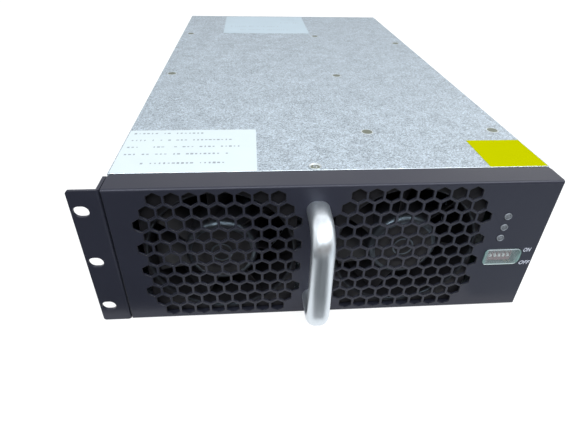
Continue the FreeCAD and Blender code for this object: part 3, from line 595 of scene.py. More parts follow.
def lathe(name, profile, steps):
    """Solid turned round Z from (radius, height) points; a radius of 0 is a pole."""
    points, rings, faces = [], [], []
    for radius, height in profile:
        ring = []
        for i in range(steps if radius else 1):
            angle = 2 * math.pi * i / steps
            ring.append(len(points))
            points.append((radius * math.cos(angle), radius * math.sin(angle), height))
        rings.append(ring)
    for low, high in zip(rings, rings[1:]):
        for i in range(steps):
            j = (i + 1) % steps
            corners = [low[i % len(low)], low[j % len(low)], high[j % len(high)], high[i % len(high)]]
            faces.append(list(dict.fromkeys(corners)))
    return mesh_of(name, points, faces, SMOOTH_ANGLE)


def evaluated_mesh(obj):
    """Plain mesh of an object's modifiers or text; the object and its data are removed."""
    bpy.context.scene.collection.objects.link(obj)
    seen = obj.evaluated_get(bpy.context.evaluated_depsgraph_get())
    mesh = bpy.data.meshes.new_from_object(seen)
    old = obj.data
    obj.modifiers.clear()
    bpy.data.objects.remove(obj)
    if old.users == 0:
        bpy.data.batch_remove([old])
    return mesh


# Screw heads as (radius, height) shares of the diameter and the rise.
PAN_HEAD = ((0, 1), (0.22, 0.98), (0.3, 0.9), (0.34, 0.72), (0.47, 0.6), (0.5, 0.4), (0.5, 0), (0, 0))
DISHED_HEAD = (
    (0, 0.42), (0.15, 0.42), (0.2, 0.28), (0.36, 0.15), (0.45, 0.5), (0.48, 0.55), (0.5, 0.45),
    (0.5, 0), (0, 0),
)
PAN_RECESS, DISHED_RECESS = 0.58, 0.3
RECESS_BAR = 0.19
SCREW_STEPS = 28


def screw_head(outline, rise, recess):
    """Head of diameter one with a cross recess, standing on its seat and looking along +Z."""
    profile = [(radius, share * rise) for radius, share in outline]
    head = bpy.data.objects.new("screw_head", lathe("screw head", profile, SCREW_STEPS))
    cutters = []
    for turn in (0, QUARTER_TURN):
        bar = bmesh.new()
        bmesh.ops.create_cube(bar, size=1.0, matrix=Matrix.Diagonal((recess, RECESS_BAR * recess, rise, 1)))
        bmesh.ops.translate(bar, verts=bar.verts, vec=(0, 0, profile[0][1]))
        bmesh.ops.rotate(bar, verts=bar.verts, matrix=Matrix.Rotation(turn, 3, "Z"))
        cutter = bpy.data.objects.new("recess_bar", settled(bar, "recess bar"))
        bpy.context.scene.collection.objects.link(cutter)
        cutters.append(cutter)
        cut = head.modifiers.new("recess", "BOOLEAN")
        cut.object = cutter
        cut.solver = "EXACT"
    mesh = evaluated_mesh(head)
    for cutter in cutters:
        bpy.data.meshes.remove(cutter.data)
    soften(mesh, SMOOTH_ANGLE)
    return mesh


def geometry_tree(name, inputs):
    """Empty geometry tree with the named inputs beside its geometry sockets."""
    shape = {"Geometry": "Geometry"}
    return new_tree(name, "GeometryNodeTree", {**shape, **inputs}, shape)


def finish_tree(desk, end, instances, material):
    """Realize the instances and give them their material."""
    real = desk.add("GeometryNodeRealizeInstances", {"Geometry": instances}).outputs[0]
    painted = desk.add("GeometryNodeSetMaterial", {"Geometry": real, "Material": material})
    desk.feed(end["Geometry"], painted.outputs[0])


def grown(name, tree, places, values):
    """Mesh that a geometry tree makes on the given places."""
    base = bpy.data.meshes.new("places")
    base.from_pydata([tuple(place) for place in places], [], [])
    obj = bpy.data.objects.new(name, base)
    modifier = obj.modifiers.new("grow", "NODES")
    modifier.node_group = tree
    named = {item.name: item.identifier for item in tree.interface.items_tree if item.in_out == "INPUT"}
    for socket, value in values.items():
        modifier[named[socket]] = value
    return evaluated_mesh(obj)


@built_once("Case Fittings")
def fitting_tree(name):
    """Places one fitting of diameter one on every point, each turned about its own axis."""
    sockets = {"Fitting": "Object", "Diameter": "Float", "Facing": "Vector", "Seed": "Int"}
    tree, desk, start, end = geometry_tree(name, {**sockets, "Finish": "Material"})
    shape = desk.add("GeometryNodeObjectInfo", {"Object": start["Fitting"]}).outputs["Geometry"]
    facing = desk.add("FunctionNodeEulerToRotation", {0: start["Facing"]}).outputs[0]
    spread = {"Points": start["Geometry"], "Instance": shape, "Rotation": facing, "Scale": start["Diameter"]}
    placed = desk.add("GeometryNodeInstanceOnPoints", spread).outputs[0]
    limits = {2: 0.0, 3: QUARTER_TURN, "Seed": start["Seed"]}
    turn = desk.add("FunctionNodeRandomValue", limits, data_type="FLOAT").outputs[1]
    about = desk.add("ShaderNodeCombineXYZ", {"Z": turn}).outputs[0]
    spun = desk.add("GeometryNodeRotateInstances", {"Instances": placed, "Rotation": about})
    finish_tree(desk, end, spun.outputs[0], start["Finish"])
    return tree


RIVET_STEPS = 32
RIVET_TOP = 0.9


@built_once("Flush Rivets")
def rivet_tree(name):
    """Flat chamfered rivet heads on every point."""
    sockets = {"Diameter": "Float", "Rise": "Float", "Finish": "Material"}
    tree, desk, start, end = geometry_tree(name, sockets)
    radius = desk.math("MULTIPLY", start["Diameter"], 0.5)
    form = {"Vertices": RIVET_STEPS, "Radius Bottom": radius, "Depth": start["Rise"]}
    form["Radius Top"] = desk.math("MULTIPLY", radius, RIVET_TOP)
    head = desk.add("GeometryNodeMeshCone", form).outputs[0]
    placed = desk.add("GeometryNodeInstanceOnPoints", {"Points": start["Geometry"], "Instance": head})
    finish_tree(desk, end, placed.outputs[0], start["Finish"])
    return tree


SMALLEST_MARK = (0.3, 0.45, 1.0)
LARGEST_MARK = (0.85, 1.0, 1.0)


@built_once("Print Marks")
def print_tree(name):
    """Small plain marks, ragged like print, on the given places."""
    sockets = {"Mark Height": "Float", "Seed": "Int", "Gaps": "Float", "Finish": "Material"}
    tree, desk, start, end = geometry_tree(name, sockets)
    chance = {"Probability": start["Gaps"], "Seed": start["Seed"]}
    gap = desk.add("FunctionNodeRandomValue", chance, data_type="BOOLEAN").outputs[3]
    left_out = {"Geometry": start["Geometry"], "Selection": gap}
    kept = desk.add("GeometryNodeDeleteGeometry", left_out).outputs[0]
    limits = {0: SMALLEST_MARK, 1: LARGEST_MARK, "Seed": start["Seed"]}
    size = desk.add("FunctionNodeRandomValue", limits, data_type="FLOAT_VECTOR").outputs[0]
    form = {"Vertices X": 2, "Vertices Y": 2, "Size X": start["Mark Height"], "Size Y": start["Mark Height"]}
    mark = desk.add("GeometryNodeMeshGrid", form).outputs[0]
    placed = desk.add("GeometryNodeInstanceOnPoints", {"Points": kept, "Instance": mark, "Scale": size})
    finish_tree(desk, end, placed.outputs[0], start["Finish"])
    return tree


# The hem's section as (depth, height) shares of its rise.
HEM_SECTION = ((0, 0), (0, 1.1), (0.35, 1.5), (1.1, 1.5), (1.6, 0.4))


def hem_mesh():
    """Rounded bright edge along the cover's front."""
    rise = sizes().cover_hem
    front, base = COVER_LOW.y, COVER_HIGH.z - rise / 2
    ends = (COVER_LOW.x, COVER_HIGH.x)
    points = [(x, front + y * rise, base + z * rise) for x in ends for y, z in HEM_SECTION]
    return mesh_of("cover hem", points, capped_rings(len(HEM_SECTION), len(ends)))


class CONVERTER_OT_case(bpy.types.Operator):
    """Gives the folded case sheets their zinc coat and the cover its bright front edge"""

    bl_idname = "converter.case"
    bl_label = "Case Sheets"

    def execute(self, context):
        dress("chassis_tray", "top_cover", "rear_panel", "fan_bracket", "cover_rail")
        bare = plain_metal("bare edge", colours().bare_edge_and_highlight, 0.4)
        piece("cover_hem", hem_mesh(), "galvanized_sheet", material=bare)
        return {"FINISHED"}


FLATNESS = 0.01 * MM
WALL_TILT, FACE_TILT = 0.1, 0.9


def is_rim(edge, face_y):
    """Whether an edge borders a flat front face and a wall square to it."""
    if any(abs(vert.co.y - face_y) > FLATNESS for vert in edge.verts) or len(edge.link_faces) != 2:
        return False
    tilts = sorted(abs(face.normal.y) for face in edge.link_faces)
    return tilts[0] < WALL_TILT and tilts[1] > FACE_TILT


def rolled(node, roll, reach=math.inf):
    """Copy of a CAD mesh whose front rims near its middle are rounded and take the second finish."""
    work = bmesh.new()
    work.from_mesh(frame["nodes"][node].data)
    bmesh.ops.remove_doubles(work, verts=work.verts, dist=CAD_MERGE_REACH)
    face_y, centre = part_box(node)[0].y, middle(node)
    rims = [edge for edge in work.edges if is_rim(edge, face_y)]
    rims = [edge for edge in rims if (edge.verts[0].co - centre).xz.length < reach]
    bmesh.ops.bevel(work, geom=rims, offset=roll, segments=3, profile=0.5, affect="EDGES", material=1)
    for face in work.faces:
        face.smooth = face.material_index == 1
    return settled(work, node.replace("_", " "))


class CONVERTER_OT_front(bpy.types.Operator):
    """Paints the honeycomb front and the mounting ear"""

    bl_idname = "converter.front"
    bl_label = "Front and Ear"

    def execute(self, context):
        dress("ear_bracket")
        node = "front_panel"
        # The rounded rims take a darker paint: a painted shade round each hole that makes the webs look
        # darker and thinner.
        shaded_rims = grained("paint edge", colours().rim_shade, 0.3, {"Specular IOR Level": 0.4}, spread=0.06)
        piece("panel", rolled(node, sizes().edge_roll), SLOT_OF[node], second=shaded_rims, node=node)
        return {"FINISHED"}


class CONVERTER_OT_handle(bpy.types.Operator):
    """Gives the bow handle its satin finish"""

    bl_idname = "converter.handle"
    bl_label = "Bow Handle"

    def execute(self, context):
        dress("handle")
        return {"FINISHED"}


BLADE_SPANS, BLADE_CHORDS = 7, 8
BLADE_SMOOTH = 40
ROOT_STAGGER, STAGGER_GAIN = 33, 24
TIP_NARROWING = 0.12
BLADE_SWEEP = 0.62
BLADE_CAMBER = 0.09
EDGE_THINNING = 0.75
TIP_LEAN = 6 * MM
BLADE_MARGIN = 2 * MM
BLADE_ROOT_DEPTH = 0.6 * MM
SHAFT_RADIUS = 1.5 * MM
SHAFT_LENGTH = 4.0 * MM
HUB_STEPS, HUB_ARC_STEPS = 56, 4
# The hub's face as (radius, depth) points in millimetres: a shallow dish with a low ring, and its border.
HUB_FACE = ((0, 0.5), (4.9, 0.5), (5.1, 0.42), (5.7, 0.42), (5.9, 0.5), (9.6, 0.5), (10.2, 0.1), (11.0, 0))
# The hub's faces between these radii are glossy, apart from its flat front.
HUB_RING, HUB_SIDE = (4.9 * MM, 5.9 * MM), (14 * MM, HUB_RADIUS + 0.1 * MM)
HUB_FLAT = 0.05 * MM
FAN_LIP_REACH = 39 * MM
# The blue specular tint is painted light: it tints the hub's and lip's highlights blue in place of blue
# skylight.
FAN_BLUE_TINT = {"Specular Tint": (0.66, 0.84, 1.0, 1)}


def blade_point(share, along, side, turn, front, rear):
    """Point of a blade at its share of the span, along its chord from -1 to 1, on one of its sides."""
    root = HUB_RADIUS - BLADE_ROOT_DEPTH
    radius = root + (sizes().blade_reach - root) * share
    stagger = math.radians(ROOT_STAGGER + STAGGER_GAIN * share)
    depth = (rear - front) / 2 * (1 - TIP_NARROWING * share)
    sweep = depth * along * math.tan(stagger) * BLADE_SWEEP
    camber = BLADE_CAMBER * depth * (1 - along * along)
    wall = side * sizes().blade_thickness / 2 * (1 - EDGE_THINNING * along ** 4)
    angle = turn + (sweep + camber + wall + TIP_LEAN * share) / radius
    return radius * math.sin(angle), (front + rear) / 2 + depth * along, radius * math.cos(angle)


def blade_mesh(turn, front, rear):
    """One twisted blade round the Y axis."""
    points, faces = [], []
    for side in (1, -1):
        for s in range(BLADE_SPANS + 1):
            for c in range(BLADE_CHORDS + 1):
                along = 2 * c / BLADE_CHORDS - 1
                points.append(blade_point(s / BLADE_SPANS, along, side, turn, front, rear))
    row = BLADE_CHORDS + 1
    back = row * (BLADE_SPANS + 1)
    for s in range(BLADE_SPANS):
        for c in range(BLADE_CHORDS):
            a = s * row + c
            faces.append((a, a + 1, a + row + 1, a + row))
            faces.append((back + a, back + a + row, back + a + row + 1, back + a + 1))
    rim = [(s * row + c, (s + 1) * row + c) for c in (0, BLADE_CHORDS) for s in range(BLADE_SPANS)]
    rim += [(s * row + c, s * row + c + 1) for s in (0, BLADE_SPANS) for c in range(BLADE_CHORDS)]
    faces += [(a, b, back + b, back + a) for a, b in rim]
    return mesh_of("blade", points, faces, BLADE_SMOOTH)


def rotor_mesh(name, front, shaft_end, centre):
    """Fan rotor: turned hub with a rounded rim and a shallow dish, twisted blades and a shaft."""
    rear = shaft_end - SHAFT_LENGTH
    rounding = sizes().hub_round
    profile = [(radius * MM, depth * MM) for radius, depth in HUB_FACE]
    for step in range(HUB_ARC_STEPS + 1):
        angle = QUARTER_TURN * step / HUB_ARC_STEPS
        radius = HUB_RADIUS - rounding + rounding * math.sin(angle)
        profile.append((radius, rounding - rounding * math.cos(angle)))
    profile += [(HUB_RADIUS, rear - front), (SHAFT_RADIUS, rear - front)]
    profile += [(SHAFT_RADIUS, shaft_end - front), (0, shaft_end - front)]
    hub = lathe("hub", profile, HUB_STEPS)
    hub.transform(Matrix.Translation((0, front, 0)) @ Matrix.Rotation(-QUARTER_TURN, 4, "X"))
    count = sizes().blade_count
    turns = [2 * math.pi * i / count for i in range(count)]
    blades = [blade_mesh(turn, front + BLADE_MARGIN, rear - BLADE_MARGIN) for turn in turns]
    whole = joined(name, [hub, *blades])
    whole.transform(Matrix.Translation((centre.x, 0, centre.z)))
    return whole


def joined(name, parts):
    """One mesh of several, keeping their shading."""
    work = bmesh.new()
    for part in parts:
        work.from_mesh(part)
        bpy.data.meshes.remove(part)
    return settled(work, name)


class CONVERTER_OT_fans(bpy.types.Operator):
    """Makes the fan rotors and finishes the fan frames"""

    bl_idname = "converter.fans"
    bl_label = "Fans"

    def execute(self, context):
        gloss = grained("hub gloss", colours().fan, 0.33, {**FAN_BLUE_TINT, "IOR": 1.85}, spread=0.15)
        lip = grained("lip gloss", colours().fan, 0.34, {**FAN_BLUE_TINT, "IOR": 1.4}, spread=0.15)
        for side in SIDES:
            node = "fan_frame_" + side
            centre = middle(node)
            mesh = rolled(node, sizes().fan_lip, FAN_LIP_REACH)
            piece("frame_" + side, mesh, SLOT_OF[node], second=lip, node=node)
            node = "fan_rotor_" + side
            low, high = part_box(node)
            mesh = rotor_mesh("rotor " + side, low.y, high.y, centre)
            self.polish_hub(mesh, low.y, centre)
            piece("rotor_" + side, mesh, SLOT_OF[node], "rotor_" + side, second=gloss, node=node)
        return {"FINISHED"}

    def polish_hub(self, mesh, front, centre):
        """Gives the hub's low ring, rim and side the second, glossy finish."""
        for polygon in mesh.polygons:
            away = math.hypot(polygon.center.x - centre.x, polygon.center.z - centre.z)
            moulded = any(low < away < high for low, high in (HUB_RING, HUB_SIDE))
            polygon.material_index = int(moulded and polygon.center.y > front + HUB_FLAT)


LAMP_STEPS = 32
LAMP_CHAMFER = 0.15 * MM
DOME_ANGLES = (0.0, 0.5, 1.0, QUARTER_TURN)
# Shares of the lamp's radius: its dome, where the collar starts, and the collar's foot and flat.
DOME_SHARE, COLLAR_START, COLLAR_SHARES = 0.78, 0.79, (0.8, 0.83, 0.96)


class CONVERTER_OT_lamps(bpy.types.Operator):
    """Turns the three domed lamps with their collars"""

    bl_idname = "converter.lamps"
    bl_label = "Lamps"

    def execute(self, context):
        collar = grained("lamp collar", colours().lamp_collar, 0.3, spread=0.1, smudge=3 * MM)
        for node in LAMPS:
            low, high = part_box(node)
            mesh = self.lamp_mesh(node, (high.x - low.x) / 2, high.y - low.y)
            place = Matrix.Translation(((low.x + high.x) / 2, low.y, (low.z + high.z) / 2))
            mesh.transform(place @ Matrix.Rotation(-QUARTER_TURN, 4, "X"))
            piece(node + "_dome", mesh, SLOT_OF[node], second=collar, node=node)
        return {"FINISHED"}

    def lamp_mesh(self, name, radius, depth):
        """Dome in a flat collar, on a plain shank; the collar takes the second finish."""
        dome = sizes().lamp_dome
        profile = [(radius * DOME_SHARE * math.sin(a), dome * (1 - math.cos(a))) for a in DOME_ANGLES]
        profile += [(radius * share, y) for share, y in zip(COLLAR_SHARES, (dome, 0, 0))]
        profile += [(radius, LAMP_CHAMFER), (radius, depth), (0, depth)]
        mesh = lathe(name, profile, LAMP_STEPS)
        for polygon in mesh.polygons:
            polygon.material_index = int(polygon.center.xy.length > radius * COLLAR_START)
        return mesh


def rounded_ring(centre, half_width, half_height, corner, y, steps=6):
    points = []
    for sx, sz, start in ((1, 1, 0), (-1, 1, 90), (-1, -1, 180), (1, -1, 270)):
        for i in range(steps + 1):
            angle = math.radians(start + 90 * i / steps)
            x = sx * (half_width - corner) + corner * math.cos(angle)
            z = sz * (half_height - corner) + corner * math.sin(angle)
            points.append((centre.x + x, y, centre.z + z))
    return points


PANEL_SHEET = 1.2 * MM
LENS_PLAY = 0.15 * MM
PLUG_INSET = 0.25 * MM
RIM_CORNER = 5.2 * MM
LEAST_CORNER = 0.4 * MM
# The plug sits aside by the lens offset, and up by this share of it.
LENS_RISE = 0.5
LENS_SKIN = 0.02 * MM
BEVEL_CREST = 0.3
# Width over which the painted highlight fades beyond the bevel.
HIGHLIGHT_LINE = 0.35 * MM
# How far in from its edge the plastic is half and fully clear.
HALF_CLEAR, FULLY_CLEAR = 1.5 * MM, 3 * MM


def lens_rings(bevel):
    """Rings of the window insert from back to front, in two groups: behind the panel's face and before it.

    A ring has its inset, its depth, how dense the plastic is there, and how strong the painted highlight and
    painted glow at its edge are there.
    """
    back, front = LENS_HIGH.y, LENS_LOW.y
    sheet = PANEL_FRONT + PANEL_SHEET
    hole = LENS_RIM + LENS_PLAY
    plug = hole + PLUG_INSET
    behind = (
        (FULLY_CLEAR, back, 0.0, 0.0),
        (0.0, back, 1.0, 0.0),
        (0.0, sheet, 1.0, 0.0),
        (hole, sheet, 1.0, 0.0),
        (hole, PANEL_FRONT - LENS_SKIN, 1.0, 0.0),
    )
    before = (
        (plug, PANEL_FRONT - 2 * LENS_SKIN, 1.0, 0.2),
        (plug, front + bevel, 1.0, 0.3),
        # The bevel's crest carries the strongest painted highlight and painted glow.
        (plug + bevel * BEVEL_CREST, front + bevel * BEVEL_CREST, 1.0, 1.0),
        (plug + bevel, front, 0.95, 0.8),
        (plug + bevel + HIGHLIGHT_LINE, front, 0.9, 0.0),
        (plug + HALF_CLEAR, front, 0.5, 0.0),
        (plug + FULLY_CLEAR, front, 0.0, 0.0),
    )
    return behind, before


# From this share of the half height on, the window's edge is its lower or its upper one.
LEVEL_EDGE = 0.9
LOWER_DENSITY, UPPER_DENSITY = 0.5, 0.3
# How sharply the painted highlight thins along the upper edge, and how strong it is on the upright edges.
UPPER_FALLOFF = 5
UPRIGHT_HIGHLIGHT = 0.25


def lens_masks(height, density, glow):
    """Density, painted highlight and painted glow at a height from -1 to 1; level edges differ from upright
    ones.
    """
    if height < -LEVEL_EDGE:
        return density * LOWER_DENSITY, glow, glow
    if height > LEVEL_EDGE:
        return density * UPPER_DENSITY, glow ** UPPER_FALLOFF, 0.0
    return density, glow * UPRIGHT_HIGHLIGHT, 0.0


def lens_mesh():
    """Window insert: a rim behind the panel and a bevelled plug, set a little aside, in front of it."""
    centre, half = middle("window_lens"), (LENS_HIGH - LENS_LOW) / 2
    aside = sizes().lens_offset
    centres = (centre, centre + Vector((-aside, 0, aside * LENS_RISE)))
    corners = (RIM_CORNER, sizes().lens_corner + LENS_RIM + LENS_PLAY)
    points, masks, rings = [], [], 0
    for group, place, rounding in zip(lens_rings(sizes().lens_bevel), centres, corners):
        for inset, y, density, glow in group:
            corner = max(LEAST_CORNER, rounding - inset)
            ring = rounded_ring(place, half.x - inset, half.z - inset, corner, y)
            masks += [lens_masks((z - place.z) / (half.z - inset), density, glow) for _, _, z in ring]
            points += ring
            rings += 1
    mesh = mesh_of("window", points, capped_rings(len(points) // rings, rings), SMOOTH_ANGLE)
    for name, values in zip(LENS_MASKS, zip(*masks)):
        mesh.attributes.new(name, "FLOAT", "POINT").data.foreach_set("value", values)
    return mesh


KNOB_TAPER = 0.85
KNOB_HEIGHT = 0.68


def knob_mesh(node):
    """Switch slider: a low square knob with tapered sides."""
    low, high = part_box(node)
    centre, half_x, half_z = middle(node), (high.x - low.x) / 2, (high.z - low.z) / 2
    corners = ((-1, -1), (1, -1), (1, 1), (-1, 1))
    points = []
    for y, share in ((high.y, 1.0), (low.y, KNOB_TAPER)):
        for sx, sz in corners:
            points.append((centre.x + sx * share * half_x, y, centre.z + sz * share * KNOB_HEIGHT * half_z))
    return mesh_of("knob", points, capped_rings(len(corners), 2))


# Words beside the switch: text, and the place of the lower left corner in millimetres.
WORDS = {"word_on": ("ON", 107.1, 41.4), "word_off": ("OFF", 107.4, 32.1)}


def word_mesh(text, x, z):
    """Slanted word on the panel's face, with its lower left corner at x and z."""
    word = bpy.data.curves.new("word", "FONT")
    word.body = text
    word.shear = 0.25
    word.offset = 0.012
    word.resolution_u = 3
    mesh = evaluated_mesh(bpy.data.objects.new("word", word))
    across = [vert.co.x for vert in mesh.vertices]
    up = [vert.co.y for vert in mesh.vertices]
    wide, tall = len(text) * sizes().letter_width, sizes().letter_height
    scale = Matrix.Diagonal((wide / (max(across) - min(across)), tall / (max(up) - min(up)), 1, 1))
    to_corner = Matrix.Translation((-min(across), -min(up), 0))
    place = Matrix.Translation((x, PANEL_FRONT - LETTER_LIFT, z)) @ Matrix.Rotation(QUARTER_TURN, 4, "X")
    mesh.transform(place @ scale @ to_corner)
    return mesh


class CONVERTER_OT_switch(bpy.types.Operator):
    """Makes the window insert, finishes the switch and letters its two ends"""

    bl_idname = "converter.switch"
    bl_label = "Switch and Window"

    def execute(self, context):
        dress("switch_body", "control_board", "board_spacers")
        for node in SLIDERS:
            body = node.replace("switch_", "")
            piece(body + "_knob", knob_mesh(node), SLOT_OF[node], body, node=node)
        piece("window_insert", lens_mesh(), "clear_plastic", node="window_lens")
        ink = grained("print white", colours().print_white, 0.5, spread=0.03, smudge=5 * MM)
        for name, (text, x, z) in WORDS.items():
            piece(name, word_mesh(text, x * MM, z * MM), "white_label", material=ink)
        return {"FINISHED"}


# Rivets in the cover, in millimetres from the module's middle and behind the panel's face.
RIVET_PLACES = (
    (26.5, 62.5), (105.5, 63.0), (26.3, 174.0), (105.5, 282.0), (25.7, 312.0), (-106.2, 321.0),
    (-106.2, 180.0), (-106.2, 63.0),
)
SEAT_RISE = 0.5


def rivet_metals():
    """Matt head and bright ring of the rivets, also used on the cover's screw."""
    made = bpy.data.materials
    matt = made.get("rivet head") or grained(
        "rivet head", colours().rivet, 0.6, {"Metallic": 0.3}, spread=0.15, smudge=4 * MM
    )
    ring = made.get("rivet ring") or plain_metal("rivet ring", colours().rivet_ring, 0.5)
    return matt, ring


class CONVERTER_OT_rivets(bpy.types.Operator):
    """Sets the flush rivets in the cover, each in its pressed ring"""

    bl_idname = "converter.rivets"
    bl_label = "Cover Rivets"

    def execute(self, context):
        matt, ring = rivet_metals()
        places = [(x * MM, PANEL_FRONT + y * MM, COVER_HIGH.z) for x, y in RIVET_PLACES]
        groups = {
            "rivet_seats": (sizes().rivet_seat, sizes().rivet_rise * SEAT_RISE, ring),
            "rivet_heads": (sizes().rivet_diameter, sizes().rivet_rise, matt),
        }
        for name, (diameter, rise, material) in groups.items():
            values = {"Diameter": diameter, "Rise": rise, "Finish": material}
            mesh = grown(name, rivet_tree(), places, values)
            piece(name, mesh, "bright_steel", material=material)
        return {"FINISHED"}


COVER_SCREW_TURN = 28
# The dish of the cover's screw takes the matt finish between these shares of the diameter.
SCREW_DISH = (0.17, 0.38)
# Outer face of the ear's leg, out from the tray's side.
EAR_LEG_FACE = 1.75 * MM
EAR_SCREW_HEIGHTS = (18.5, 43.5, 68.5)
REAR_SCREW_PLACES = (-98.0, -49.0, 0.0, 49.0, 98.0)
REAR_SCREW_HEIGHT = 81.0 * MM


class CONVERTER_OT_screws(bpy.types.Operator):
    """Sets the pan-head screws of the ear and the rear lip, and the cover's dished screw"""

    bl_idname = "converter.screws"
    bl_label = "Case Screws"

    def execute(self, context):
        self.set_cover_screw()
        steel = finish("bright_steel")
        head = bpy.data.objects.new("screw_shape", screw_head(PAN_HEAD, sizes().screw_rise, PAN_RECESS))
        leg_y = middle("ear_bracket").y
        ear_places = [(TRAY_SIDE - EAR_LEG_FACE, leg_y, z * MM) for z in EAR_SCREW_HEIGHTS]
        rear_places = [(x * MM, COVER_HIGH.y, REAR_SCREW_HEIGHT) for x in REAR_SCREW_PLACES]
        groups = {
            "ear_screws": (ear_places, (0.0, -QUARTER_TURN, 0.0), 3),
            "rear_screws": (rear_places, (-QUARTER_TURN, 0.0, 0.0), 5),
        }
        for name, (places, facing, seed) in groups.items():
            values = {"Fitting": head, "Diameter": sizes().small_screw, "Facing": facing, "Seed": seed}
            mesh = grown(name, fitting_tree(), places, {**values, "Finish": steel})
            piece(name, mesh, "bright_steel", material=steel)
        bpy.data.objects.remove(head)
        return {"FINISHED"}

    def set_cover_screw(self):
        mesh = screw_head(DISHED_HEAD, sizes().screw_rise, DISHED_RECESS)
        width = SCREW_HIGH.x - SCREW_LOW.x
        seat = Vector((*middle("cover_screw").xy, COVER_HIGH.z))
        turn = Matrix.Rotation(math.radians(COVER_SCREW_TURN), 4, "Z")
        mesh.transform(Matrix.Translation(seat) @ turn @ Matrix.Scale(width, 4))
        for polygon in mesh.polygons:
            away = (polygon.center - seat).xy.length / width
            polygon.material_index = int(SCREW_DISH[0] < away < SCREW_DISH[1])
        matt, ring = rivet_metals()
        piece("cover_screw_head", mesh, "bright_steel", material=ring, second=matt, node="cover_screw")


# Rows of print marks as shares of the label: down from its rear edge, and from and to across it.
LABEL_ROWS = {
    "white_label": (
        (0.09, 0.05, 0.57), (0.27, 0.05, 0.86), (0.44, 0.045, 0.865), (0.61, 0.047, 0.78),
        (0.815, 0.19, 0.76),
    ),
    "rear_label": ((0.2, 0.72, 0.9), (0.4, 0.7, 0.92), (0.62, 0.06, 0.7), (0.82, 0.2, 0.78)),
}
FIRST_LABEL_SEED = 4
MARK_GAPS = 0.16


def row_places(node):
    """Places of the print marks in a label's rows."""
    low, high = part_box(node)
    width, depth = high.x - low.x, high.y - low.y
    places = []
    for down, start, end in LABEL_ROWS[node]:
        count = round((end - start) * width / sizes().mark_pitch)
        for i in range(count):
            share = start + (end - start) * i / (count - 1)
            places.append((low.x + share * width, high.y - down * depth, high.z + PRINT_LIFT))
    return places


class CONVERTER_OT_labels(bpy.types.Operator):
    """Finishes the labels and prints faint rows of plain marks on the pale ones"""

    bl_idname = "converter.labels"
    bl_label = "Labels"

    def execute(self, context):
        dress("white_label", "rear_label", "yellow_label")
        frame["nodes"]["rear_label"].data.materials[0] = paper_finish("label film", colours().film)
        ink = grained("label print", colours().mark, 0.5, spread=0.1, smudge=5 * MM)
        for seed, node in enumerate(LABEL_ROWS, start=FIRST_LABEL_SEED):
            values = {"Mark Height": sizes().mark_height, "Seed": seed, "Gaps": MARK_GAPS, "Finish": ink}
            mesh = grown(node + "_print", print_tree(), row_places(node), values)
            piece(node + "_print", mesh, SLOT_OF[node], material=ink)
        return {"FINISHED"}


class CONVERTER_OT_power(bpy.types.Operator):
    """Finishes the boards, heatsinks, coils and capacitors inside"""

    bl_idname = "converter.power"
    bl_label = "Power Parts"

    def execute(self, context):
        dress("main_board", "board_standoffs", "driver_card", "bus_capacitors", "film_capacitors", "relays")
        for side in SIDES:
            dress("heatsink_" + side, "transistors_" + side)
        for part in ("transformer", "inductor", "choke"):
            dress(part + "_core", part + "_winding")
        return {"FINISHED"}


class CONVERTER_OT_connector(bpy.types.Operator):
    """Finishes the rear connector and its contacts"""

    bl_idname = "converter.connector"
    bl_label = "Rear Connector"

    def execute(self, context):
        dress("power_connector", "power_contacts")
        return {"FINISHED"}


def flat_card(name, corners, material):
    mesh = bpy.data.meshes.new(name)
    mesh.from_pydata(corners, [], [tuple(range(len(corners)))])
    mesh.materials.append(material)
    card = bpy.data.objects.new(name, mesh)
    bpy.context.scene.collection.objects.link(card)
    return card


def seen_directly(desk):
    """Mask of the rays that show a surface: from the camera, in mirrors and through glass."""
    path = desk.add("ShaderNodeLightPath").outputs
    mirrored = desk.math("MAXIMUM", path["Is Glossy Ray"], path["Is Transmission Ray"])
    return desk.math("MAXIMUM", path["Is Camera Ray"], mirrored)


def mixed_output(desk, hidden, seen, kind):
    """Ends a tree with one shader for the rays that show a surface and one for the rest."""
    sides = {0: seen_directly(desk), 1: hidden.outputs[0], 2: seen.outputs[0]}
    both = desk.add("ShaderNodeMixShader", sides)
    desk.add(kind, {"Surface": both.outputs[0]})


WHITE = (1, 1, 1, 1)
FLOOR_GREY = (0.3, 0.3, 0.3, 1)
FLOOR_LEVEL = -0.4 * MM
# Distances from the module, and the floor's own glow at each.
FLOOR_REACH, FLOOR_GLOW = (0.8, 3.0), (0.8, 1.0)


def floor_material():
    """Pale floor that looks white to the camera and in reflections, and still takes a shadow."""
    made = bpy.data.materials.new("pale floor")
    made.use_nodes = True
    desk = Desk(made.node_tree)
    made.node_tree.nodes.clear()
    matt = desk.add("ShaderNodeBsdfDiffuse", {"Color": FLOOR_GREY})
    far = desk.vector("LENGTH", {0: desk.place()})["Value"]
    strength = desk.remap(far, *FLOOR_REACH, *FLOOR_GLOW)
    glow = desk.add("ShaderNodeEmission", {"Color": WHITE, "Strength": strength})
    white = desk.add("ShaderNodeAddShader", {0: matt.outputs[0], 1: glow.outputs[0]})
    mixed_output(desk, matt, white, "ShaderNodeOutputMaterial")
    return made


SKY_LOW, SKY_HIGH = (0.14, 0.16, 0.19, 1), (0.94, 0.98, 1.0, 1)
SKY_LEAN = 0.5
SKY_SPAN = (-0.5, 0.9)


